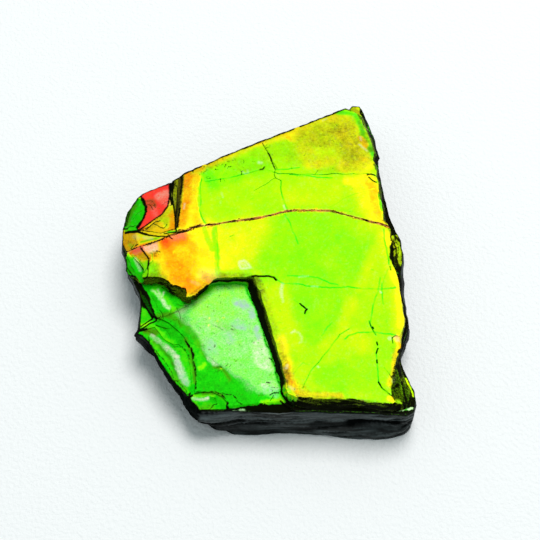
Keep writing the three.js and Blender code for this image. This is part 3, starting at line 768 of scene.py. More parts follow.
LOWER_DARK = [
    # under the broken near left edge, and painted shade along the terraces' steps
    (0.97, 1.0, 0.16, 0.2, [(-15.9, -3.6), (-15.2, -4.7), (-14.5, -6.0)]),
    (0.97, 1.0, 0.06, 0.16, [(-14.5, -6.0), (-14.1, -6.9), (-13.7, -7.8), (-13.35, -8.8)]),
    (0.45, 1.0, 0.02, 0.2, [(-14.5, -10.3), (-13.9, -10.4), (-13.4, -10.6)]),
    (0.60, 1.0, 0.01, 0.12, [(-10.7, -10.2), (-10.0, -10.75), (-9.6, -11.2), (-9.25, -12.0)]),
    (0.97, 1.0, 0.06, 0.14, [(-9.55, -11.6), (-9.25, -12.0), (-8.85, -12.9), (-8.55, -14.2)]),
    (0.88, 1.0, 0.02, 0.12, [(-8.55, -14.2), (-8.35, -15.4), (-8.2, -16.5), (-8.25, -18.1)]),
    (0.70, 1.0, 0.01, 0.11, [(-11.05, -12.3), (-10.55, -12.2), (-9.95, -12.5), (-9.45, -13.05),
        (-9.05, -13.9), (-8.85, -14.6)]),
    (0.45, 1.0, 0.01, 0.13, [(-10.9, -13.6), (-10.7, -14.4), (-10.4, -15.4)]),
    (0.85, 1.0, 0.01, 0.12, [(-8.1, -18.5), (-6.95, -18.45), (-5.95, -18.6), (-5.15, -18.9)]),
    (0.95, 1.0, 0.03, 0.13, [(-5.15, -18.9), (-4.6, -19.4), (-4.3, -20.05), (-4.2, -20.6)]),
    (0.85, 1.0, 0.01, 0.13, [(-5.0, -18.65), (-4.05, -18.95), (-3.6, -19.4), (-3.2, -19.8),
        (-2.8, -20.0)]),
    (0.80, 1.0, 0.01, 0.13, [(-6.5, -20.4), (-6.15, -20.1), (-5.6, -20.05)]),
    (0.60, 1.0, 0.01, 0.12, [(-6.2, -19.2), (-5.7, -19.5), (-5.6, -19.9)]),
    (0.75, 1.0, 0.01, 0.14, [(-14.2, -11.0), (-12.8, -13.4), (-11.2, -15.9), (-9.0, -18.8),
        (-8.0, -20.2)]),
    # along the front, where the sheet is broken off black
    (0.98, 1.0, 0.0, 0.12, [(-4.6, -20.75), (-4.0, -20.55), (-2.0, -20.25), (0.0, -20.02),
        (2.0, -19.85), (3.2, -19.65), (3.2, -22.0), (-4.6, -22.0)], True),
    # on the ledges at the right side
    (0.98, 1.0, 0.0, 0.8, [(3.2, -20.4), (14.4, -20.0), (14.6, -18.0), (15.2, -15.0),
        (15.6, -13.0), (18.5, -13.0), (18.5, -24.0), (3.2, -24.0)], True),
    (0.98, 1.0, 0.0, 0.3, [(14.8, 24.0), (14.8, 4.0), (15.2, 2.9), (18.5, 2.9),
        (18.5, 24.0)], True),
    (0.98, 1.0, 0.0, 0.3, [(14.8, -3.0), (18.5, -3.0), (18.5, -13.0), (14.8, -13.0)], True),
    (0.98, 1.0, 0.10, 0.2, [(15.4, 2.6), (15.5, 0.5), (15.5, -1.5), (15.8, -2.9)]),
    (0.90, 1.0, 0.06, 0.14, [(15.9, 2.2), (16.0, 0.8), (16.1, -0.2), (16.2, -1.6)]),
    (0.80, 1.0, 0.02, 0.12, [(16.1, 2.4), (16.35, 1.6), (16.4, 0.6), (16.35, -0.6)]),
    (0.85, 1.0, 0.06, 0.20, [(16.2, 2.6), (16.8, 1.9), (17.0, 1.2)]),
    (0.98, 1.0, 0.15, 0.5, [(16.2, -2.2), (16.5, -2.8)]),
    (0.85, 0.9, 0.20, 0.3, [(15.9, -0.6), (15.9, -1.4), (16.2, -2.0)]),
    (0.05, 0.9, 0.09, 0.10, [(16.75, -16.8), (17.1, -17.9), (17.5, -19.2)]),
    (0.05, 0.9, 0.05, 0.10, [(15.5, -20.2), (16.1, -20.5)]),
    (0.05, 0.9, 0.03, 0.10, [(16.4, -20.9), (17.0, -20.7)]),
    (0.95, 1.0, 0.05, 0.15, [(10.8, 21.0), (11.0, 22.0)]),
    (0.97, 1.0, 0.10, 0.2, [(12.6, 22.2), (12.4, 21.0), (12.9, 19.9)]),
]


# The line where the upper sheet's walls meet this sheet, as spots along it.
FOOT_GRAIN = 0.08
FOOT_BEND = math.radians(20)
upper_solid = solid_of("upper_ammolite_sheet")
upper_tree = BVHTree.FromBMesh(upper_solid)
upper_foot = []
for edge in upper_solid.edges:
    start, end = (vert.co for vert in edge.verts)
    on_foot = max(start.z, end.z) < LOWER_LEVEL + 0.02
    if on_foot and edge.calc_face_angle(0) > FOOT_BEND:
        cuts = max(1, round((end - start).length / FOOT_GRAIN))
        upper_foot += [start.lerp(end, k / cuts) for k in range(cuts)]
foot_tree = tree_of([(spot.x, spot.y, 0) for spot in upper_foot])
upper_solid.free()


# How far inside the upper sheet's edge a place has to be to be hidden, in millimetres.
HIDDEN_MARGIN = 0.3


def under_the_upper_sheet(place):
    """Whether a place is hidden below the upper sheet, well away from its edge."""
    for x, y in ((1, 0), (-1, 0), (0, 1), (0, -1)):
        start = Vector((place.x + HIDDEN_MARGIN * x, place.y + HIDDEN_MARGIN * y, 5.0))
        if upper_tree.ray_cast(start, Vector((0, 0, 1)))[0] is None:
            return False
    return True


# How far a triangle has to look up or down to belong to a sheet's face or base.
FACE_RISE = 0.75


def sides_of(skin):
    """Which places of a sheet belong to its face, to its walls and to its base."""
    return (touching(skin, skin.rise > FACE_RISE),
            touching(skin, np.abs(skin.rise) < FACE_RISE),
            touching(skin, skin.rise < -FACE_RISE))


lower_lines = [wander(course) for *_, course in LOWER_CRACKS]
lower = fine_skin(
    "lower_ammolite_sheet", LOWER_WALL_GRAIN, LOWER_FACE_GRAIN, lower_lines,
    under_the_upper_sheet)
on_face, on_wall, on_base = sides_of(lower)
only_wall = on_wall & ~on_face
plan = strayed_places(lower.places, amount=0.30, seed=11)

marks = bare_marks(lower, film=0.34)
lay(marks["film"], LOWER_FILM[:1], plan)
lay_on_facets(marks, lower, LOWER_FACETS)
lay(marks["film"], LOWER_FILM[1:], plan)
lay(marks["haze"], LOWER_HAZE, plan)
lay(marks["dull"], LOWER_DULL, plan)
lay(marks["lilac"], LOWER_LILAC, plan)
lay(marks["dark"], LOWER_DARK, plan)
cloud = grain_at(lower.places, 0.8, 25)
mottle = grain_at(lower.places, 0.32, 26)
marks["film"] += 0.045 * cloud + 0.03 * mottle
marks["haze"] *= np.clip(1 - 0.6 * cloud - 0.6 * mottle, 0.2, 1.8)
marks["lilac"] *= np.clip(1 + 1.2 * grain_at(lower.places, 0.6, 27), 0.2, 1.5)

# Along the foot of the upper sheet the shell is greener, with less haze, sheen and lilac, and
# painted shade lies right at the foot, but not at the head of the step.
HEAD_OF_STEP = [(-6.3, -4.3), (-2.8, -4.25)]
from_foot = np.array([foot_tree.find((x, y, 0))[2] for x, y in plan])
fringe = np.clip(1.6 - from_foot / 0.18, 0, 1) * on_face * (plan[:, 0] < 10)
ease(marks["film"], 0.235, fringe)
marks["haze"] *= 1 - fringe
marks["lilac"] *= 1 - fringe
toe = np.clip(1.1 - from_foot / 0.09, 0, 1) * on_face
toe *= 1 - 0.9 * covered(plan, HEAD_OF_STEP, 0.6, 0.4)
marks["dark"] = np.maximum(marks["dark"], 0.97 * toe)

for values in marks.values():
    blend_edges(values, lower)
cut = cut_cracks(marks, lower.places[:, :2], LOWER_CRACKS)
rim_grain = grain_at(lower.places, 0.9, 15)

# The terraces' walls are lighter than the slab's other rims and walls, with some glints.
TERRACES = [(-14.3, -9.8), (-13.2, -8.8), (-11.0, -9.4), (-9.0, -11.2), (-7.9, -13.8),
            (-7.8, -17.8), (-4.6, -18.2), (-3.4, -20.0), (-7.2, -19.9), (-8.7, -18.5),
            (-10.6, -15.8), (-12.7, -12.8)]
terraced = covered(lower.places[:, :2], TERRACES, 0.0, 0.15, filled=True)
rim = np.clip(1.5 - lower.from_rim / 0.14, 0, 1) * (0.97 + 0.25 * rim_grain)
marks["dark"] = np.maximum(marks["dark"], rim * (1 - terraced))
layers = grain_at(lower.places, (2.2, 2.2, 0.2), 29)
wall_dark = 0.98 + 0.1 * rim_grain - terraced * np.clip(0.5 + 0.5 * rim_grain, 0.1, 0.8)
wall_dark -= np.clip(1.1 * layers, 0, 0.45)
marks["dark"][only_wall] = np.clip(wall_dark, 0, 1)[only_wall]
marks["dull"][only_wall] = 0.7
GLINTS = [
    (0.10, 1.0, 0.12, 0.12, [(-2.9, -20.7), (-2.4, -20.75)]),
    (0.30, 1.0, 0.05, 0.12, [(-3.7, -20.6), (-3.3, -20.7)]),
    (0.20, 1.0, 0.06, 0.12, [(15.6, -20.8), (16.2, -20.9)]),
    (0.10, 1.0, 0.08, 0.12, [(16.8, -20.9), (17.2, -20.7)]),
]
lay(marks["dark"], GLINTS, plan)
# Painted highlights on the glints, where bare shell shows along the front.
glint = np.max([covered(plan, course, 0.15, 0.1) for *_, course in GLINTS], axis=0)
marks["haze"] = np.maximum(marks["haze"], 0.6 * glint)
marks["dull"] *= 1 - glint

waves = grain_at(lower.places, 3.5, 21, 2)
pits = grain_at(lower.places, 0.6, 22, 2)
sink = 0.02 * waves - 0.014 * np.maximum(pits, 0) - cut
lower.places[:, 2] += np.where(on_face & ~on_base, sink, 0)
jag = grain_at(lower.places, (0.7, 0.7, 0.3), 23)
lower.places += outward(lower) * (0.05 * jag * on_wall)[:, None]


def new_group(name, takes, gives, kind):
    """A new group of shader nodes: itself, the values that it takes and its way out."""
    group = bpy.data.node_groups.new(name, "ShaderNodeTree")
    for socket in takes:
        group.interface.new_socket(socket, in_out="INPUT", socket_type="NodeSocketFloat")
    group.interface.new_socket(gives, in_out="OUTPUT", socket_type=kind)
    return group, add_node(group, "NodeGroupInput").outputs, add_node(group, "NodeGroupOutput")


# Breaks the soft border of a mask up into grains.
stipple, given, made = new_group(
    "stipple", ("Mask", "Grain", "Amount"), "Mask", "NodeSocketFloat")
border = reckon(
    stipple, "MULTIPLY", given["Mask"], reckon(stipple, "SUBTRACT", 1, given["Mask"]))
centred = reckon(stipple, "SUBTRACT", given["Grain"], 0.5)
loud = reckon(stipple, "MULTIPLY", centred, given["Amount"])
broken = reckon(stipple, "MULTIPLY_ADD", loud, border, given["Mask"], use_clamp=True)
feed(stipple, made, {"Mask": broken})

# The colour of the shell, and what lies over it, from the lowest layer to the highest. The dull
# stain also carries painted shade, the haze painted sheen and highlights, and the dark painted
# shade.
FILM_COLOURS = [
    (0.00, (0.000, 0.120, 0.002)),
    (0.10, (0.000, 0.330, 0.001)),
    (0.22, (0.003, 0.620, 0.002)),
    (0.34, (0.080, 0.770, 0.003)),
    (0.44, (0.235, 0.900, 0.001)),
    (0.56, (0.480, 0.870, 0.001)),
    (0.68, (0.880, 0.800, 0.006)),
    (0.80, (0.960, 0.330, 0.001)),
    (0.90, (0.980, 0.085, 0.004)),
    (1.00, (0.960, 0.014, 0.022)),
]
STAINS = [
    ("Dull", (0.100, 0.078, 0.003)),
    ("Haze", (0.73, 0.78, 0.56)),
    ("Lilac", (0.36, 0.50, 0.50)),
    ("Flecks", (0.05, 0.10, 0.005)),
    ("Dark", (0.004, 0.005, 0.0015)),
]
shell_film, given, made = new_group(
    "shell film", ("Film", "Haze", "Dull", "Lilac", "Dark", "Flecks"), "Color", "NodeSocketColor")
tinted = colours_along(shell_film, given["Film"], FILM_COLOURS)
for stain, colour in STAINS:
    tinted = overlaid(shell_film, given[stain], tinted, colour)
feed(shell_film, made, {"Color": tinted})


def shell_paint(name, fleck_scale, fleck_amount, film_stir):
    """A shell sheet's material. Stir is how much the film's colour varies on a small scale."""
    paint, tree, shader, place = new_paint(name)
    stir = noise_over(tree, place, 800, 6, 0.6)
    grit = noise_over(tree, place, 5000, 3, 0.6)
    flecks = noise_over(tree, place, fleck_scale, 4, 0.6)
    broken = {}
    for mark, grain, amount in (
            ("Haze", grit, 4.0), ("Dull", grit, 3.5), ("Lilac", stir, 6.0), ("Dark", grit, 3.0)):
        stippled = add_node(tree, "ShaderNodeGroup", node_tree=stipple)
        feed(tree, stippled, {
            "Mask": mark_on(tree, mark.lower()), "Grain": grain, "Amount": amount})
        broken[mark] = stippled.outputs["Mask"]
    broken["Dark"] = ranged(
        tree, broken["Dark"], 0, 1, 0.15, 0.85, interpolation_type="SMOOTHSTEP")
    stirring = reckon(
        tree, "MULTIPLY_ADD", reckon(tree, "ADD", stir, grit), film_stir, -film_stir)
    tint = add_node(tree, "ShaderNodeGroup", node_tree=shell_film)
    feed(tree, tint, {
        "Film": reckon(tree, "ADD", mark_on(tree, "film"), stirring),
        "Flecks": ranged(tree, flecks, 0, fleck_amount, 0.62, 0.74),
        **broken})
    feed(tree, shader, {
        "Base Color": tint.outputs["Color"],
        "Metallic": 0.14,
        "Specular IOR Level": ranged(tree, broken["Dark"], 0.012, 0.0),
        "Roughness": ranged(tree, stir, 0.25, 0.55),
        "Normal": bumped(tree, grit, 0.3, 0.03 * MM),
    })
    return paint


lower_paint = shell_paint("green shell", fleck_scale=2100, fleck_amount=0.75, film_stir=0.20)
lower_sheet = make_piece("lower_shell_sheet", lower, marks, lower_paint, smooth_below=38)
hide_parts("lower_ammolite_sheet")


# ---------------------------------------------------------------- the upper sheet of shell
# The second, thicker sheet of shell, lime green to yellow and orange to red where it thins
# towards its chipped corner. Its broken edges are dark, and hairline breaks cross its face.

UPPER_WALL_GRAIN = 0.18
UPPER_FACE_GRAIN = 0.15
UPPER_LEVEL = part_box("upper_ammolite_sheet")[1][2] / MM

# The break right across the sheet, which the solid has as a groove.
LONG_CRACK = [
    (-17.3, -0.5), (-15.4, 0.2), (-13.5, 0.8), (-12.3, 1.5), (-10.8, 2.1), (-9.7, 2.3),
    (-8.7, 2.9), (-6.5, 3.2), (-4.4, 3.6), (-0.6, 4.2), (0.9, 4.6), (2.5, 5.1), (3.7, 5.2),
    (5.6, 5.1), (8.1, 4.8), (10.5, 4.1), (13.0, 3.2), (14.6, 2.8), (15.9, 2.4),
]

# Breaks and ridges of the chipped corner that cracks and shades both follow.
CHIP_BREAK = [(-17.4, 2.75), (-16.8, 2.7), (-15.8, 2.5), (-14.8, 2.1)]
CHIP_BREAK_END = [(-14.8, 2.1), (-13.8, 1.8), (-13.0, 1.65), (-12.4, 1.7)]
CHIP_RIDGE = [(-10.72, 10.6), (-10.72, 8.4), (-10.82, 6.4), (-10.95, 5.2)]
CHIP_RIDGE_END = [(-10.82, 6.4), (-10.92, 4.6), (-10.92, 2.9)]

# Hairline breaks: half width, depth, darkness, how green they stain, and course.
UPPER_CRACKS = [
    # along the far side
    (0.10, 0.02, 0.45, 0.8, [(-7.6, 9.4), (-6.0, 9.7), (-4.6, 10.0), (-3.0, 10.4), (-1.9, 10.8),
        (-0.9, 11.1)]),
    (0.20, 0.05, 0.95, 0.3, [(-0.7, 11.2), (-0.4, 11.3), (-0.2, 11.7)]),
    (0.10, 0.02, 0.75, 0.6, [(0.3, 11.2), (1.0, 10.8), (1.6, 10.6), (3.0, 10.5), (5.0, 10.5),
        (6.8, 10.5), (8.5, 10.6), (10.0, 10.6), (12.9, 10.6)]),
    (0.09, 0.02, 0.35, 0.9, [(3.0, 10.4), (5.0, 10.3), (6.5, 10.1), (8.3, 10.0)]),
    (0.09, 0.02, 0.30, 0.8, [(1.3, 11.2), (3.0, 11.3), (4.2, 11.5)]),
    (0.15, 0.05, 0.95, 0.3, [(12.8, 10.4), (13.3, 10.6), (13.8, 10.4)]),
    (0.13, 0.05, 0.90, 0.5, [(13.0, 10.1), (13.4, 9.6), (13.9, 9.3)]),
    # down from the far edge to the long break, and past it
    (0.11, 0.03, 0.80, 0.1, [(-0.4, 15.1), (0.0, 14.3), (0.3, 13.6)]),
    (0.10, 0.02, 0.60, 0.1, [(-0.1, 14.3), (0.2, 14.5)]),
    (0.15, 0.05, 0.95, 0.2, [(0.3, 13.6), (0.7, 12.9), (0.8, 12.2), (1.2, 11.3)]),
    (0.10, 0.03, 0.70, 0.2, [(0.6, 12.6), (1.2, 11.9), (1.4, 11.4)]),
    (0.10, 0.03, 0.75, 0.2, [(1.2, 11.3), (1.1, 10.4), (1.3, 10.0), (1.9, 9.6)]),
    (0.10, 0.03, 0.50, 0.7, [(1.9, 9.6), (1.9, 8.0), (2.2, 6.9), (2.5, 5.9), (2.7, 5.4)]),
    (0.09, 0.01, 0.25, 0.8, [(2.4, 4.8), (3.0, 3.4), (3.5, 2.0), (4.0, 0.5)]),
    (0.09, 0.02, 0.70, 0.1, [(-1.4, 8.1), (0.0, 9.1), (1.3, 10.0)]),
    # by the orange stripe
    (0.10, 0.02, 0.50, 0.7, [(-8.1, 9.8), (-8.3, 8.0), (-8.1, 6.5), (-8.2, 5.2), (-7.9, 4.2),
        (-7.5, 3.4)]),
    (0.08, 0.01, 0.30, 0.4, [(-6.1, 2.8), (-6.0, 1.5), (-5.9, 0.0), (-5.8, -1.5), (-5.7, -3.2)]),
    # from the head of the step
    (0.21, 0.09, 1.00, 0.2, [(-2.2, -4.1), (-1.2, -3.9), (0.3, -4.0), (0.9, -4.15), (1.25, -4.5)]),
    (0.09, 0.02, 0.35, 1.0, [(1.3, -4.4), (2.2, -5.0), (4.0, -5.1), (5.5, -5.4), (8.0, -5.6),
        (10.0, -5.5), (12.0, -5.7), (14.3, -5.8), (15.7, -5.6)]),
    (0.09, 0.01, 0.30, 1.0, [(2.7, -4.0), (4.5, -4.0), (6.3, -4.2), (7.7, -4.9), (8.7, -5.1)]),
    # down the right side
    (0.10, 0.02, 0.35, 0.9, [(13.9, -4.2), (13.6, -6.0), (12.9, -8.0), (12.7, -9.3),
        (12.5, -10.3)]),
    (0.13, 0.04, 0.70, 1.0, [(12.4, -10.0), (12.6, -10.9), (12.9, -11.5), (13.2, -11.9)]),
    (0.14, 0.04, 0.95, 0.9, [(12.75, -10.9), (12.85, -11.1)]),
    (0.17, 0.05, 0.95, 0.7, [(13.25, -12.9), (13.3, -13.3)]),
    (0.15, 0.05, 0.95, 0.7, [(13.35, -13.7), (13.15, -14.3)]),
    (0.16, 0.05, 0.95, 0.7, [(13.2, -15.2), (13.2, -15.6)]),
    (0.10, 0.02, 0.50, 0.8, [(13.1, -14.3), (13.2, -15.5), (13.2, -17.0), (13.3, -18.0)]),
    (0.14, 0.05, 0.98, 0.6, [(13.3, -18.0), (13.6, -18.7), (14.3, -19.4), (14.7, -19.7)]),
    (0.09, 0.01, 0.30, 0.9, [(14.1, -5.0), (14.1, -7.8)]),
    (0.10, 0.02, 0.40, 1.0, [(9.4, -12.4), (10.0, -11.9), (11.0, -11.6), (12.7, -11.5),
        (14.0, -11.7), (15.5, -11.9)]),
    (0.09, 0.02, 0.65, 0.5, [(10.0, -11.1), (8.8, -11.9), (8.5, -12.3), (7.5, -13.8), (6.5, -15.3),
        (5.6, -16.3), (5.0, -17.3), (4.5, -18.2), (4.4, -18.8)]),
    (0.09, 0.01, 0.30, 0.7, [(7.9, -10.3), (6.7, -12.0)]),
    (0.11, 0.02, 0.80, 0.2, [(14.0, -16.2), (14.6, -17.0), (15.0, -17.7)]),
    (0.10, 0.02, 0.45, 0.8, [(14.6, 2.2), (14.7, 0.5), (14.9, -1.0), (15.1, -2.4)]),
    (0.12, 0.03, 0.85, 0.4, [(15.2, -2.6), (15.25, -3.1)]),
    (0.09, 0.01, 0.30, 0.6, [(14.9, -3.0), (14.3, -4.5), (14.1, -6.0)]),
    (0.08, 0.01, 0.30, 0.2, [(7.8, 5.5), (9.8, 7.0), (11.0, 7.6), (13.6, 8.4)]),
    # dents and scratches
    (0.17, 0.06, 0.95, 0.5, [(4.1, -7.7), (4.5, -8.1), (4.8, -8.4)]),
    (0.19, 0.06, 0.95, 0.5, [(4.95, -8.5), (4.75, -8.7), (4.7, -9.1)]),
    (0.09, 0.01, 0.50, 0.3, [(3.4, -7.2), (4.1, -7.7)]),
    (0.09, 0.01, 0.55, 0.2, [(3.3, -17.0), (3.8, -16.2), (4.4, -15.6), (5.1, -15.8)]),
    (0.08, 0.01, 0.30, 0.0, [(-12.5, -4.3), (-9.0, -4.3), (-7.0, -4.2)]),
    (0.10, 0.02, 0.75, 0.3, [(6.3, 10.6), (6.6, 11.1)]),
    (0.10, 0.02, 0.70, 0.1, [(9.4, 14.3), (10.1, 14.8)]),
    (0.12, 0.03, 0.90, 0.1, [(15.1, -13.0), (15.1, -12.3), (15.5, -12.0), (15.9, -12.1)]),
    (0.12, 0.02, 0.70, 0.3, [(-4.4, 1.5), (-4.0, 1.7)]),
    (0.14, 0.03, 0.80, 0.0, [(-13.6, -1.2), (-13.4, -1.25)]),
    (0.12, 0.03, 0.80, 0.0, [(-13.4, -0.5), (-13.0, -0.6)]),
    (0.10, 0.02, 0.50, 0.2, [(-1.9, 6.9), (-1.6, 7.0)]),
    (0.11, 0.02, 0.60, 0.4, [(12.9, -3.1), (13.1, -3.15)]),
    # on the chipped corner
    (0.26, 0.04, 1.00, 0.1, CHIP_BREAK),
    (0.17, 0.04, 1.00, 0.1, CHIP_BREAK_END),
    (0.15, 0.04, 0.90, 0.4, [(-12.5, 2.1), (-11.6, 2.2), (-11.0, 2.2)]),
    (0.14, 0.03, 0.90, 0.2, [(-14.9, 2.9), (-14.3, 3.5), (-13.8, 4.0), (-13.2, 4.2)]),
    (0.13, 0.03, 0.95, 0.2, [(-14.0, 3.8), (-13.5, 3.5), (-13.1, 3.15), (-12.7, 3.1),
        (-12.3, 3.6)]),
    (0.11, 0.02, 0.75, 0.0, [(-14.8, 7.3), (-14.3, 7.3), (-13.9, 6.8), (-13.8, 6.6)]),
    (0.11, 0.02, 0.75, 0.0, [(-14.9, 6.8), (-14.4, 6.6), (-14.1, 6.0)]),
    (0.10, 0.02, 0.70, 0.0, [(-14.6, 6.9), (-14.3, 6.4)]),
    (0.10, 0.02, 0.70, 0.0, [(-13.0, 6.6), (-12.6, 7.0), (-12.3, 7.1), (-12.2, 6.8)]),
    (0.11, 0.02, 0.85, 0.3, [(-17.2, 3.3), (-16.8, 3.7), (-16.5, 3.5), (-16.2, 3.7)]),
    (0.10, 0.02, 0.70, 0.3, [(-16.6, 4.6), (-16.1, 5.4), (-15.6, 5.8)]),
    (0.11, 0.03, 0.95, 0.1, [(-11.2, 9.3), (-11.05, 7.6), (-11.05, 6.0), (-11.15, 4.4)]),
    (0.12, 0.02, 0.90, 0.0, [(-11.75, 9.2), (-11.7, 8.0), (-11.75, 7.0), (-11.9, 6.4)]),
    (0.10, 0.02, 0.80, 0.1, [(-11.5, 8.0), (-11.35, 7.0)]),
    (0.11, 0.02, 0.50, 0.6, [(-16.3, -0.9), (-15.5, -1.7), (-15.0, -2.6), (-14.8, -3.6)]),
    (0.10, 0.02, 0.60, 0.5, [(-13.9, -0.9), (-13.8, -1.9), (-14.3, -2.5), (-14.8, -3.5)]),
    (0.14, 0.03, 0.85, 0.0, [(-11.8, 1.4), (-11.5, 1.1)]),
    (0.12, 0.02, 0.75, 0.0, [(-15.4, 0.1), (-15.0, -0.1)]),
    (0.10, 0.02, 0.80, 0.2, [(-16.3, 1.9), (-16.0, 1.4), (-16.2, 0.8), (-16.6, 0.2)]),
    (0.09, 0.02, 0.70, 0.2, [(-15.6, 1.3), (-16.1, 0.6)]),
]

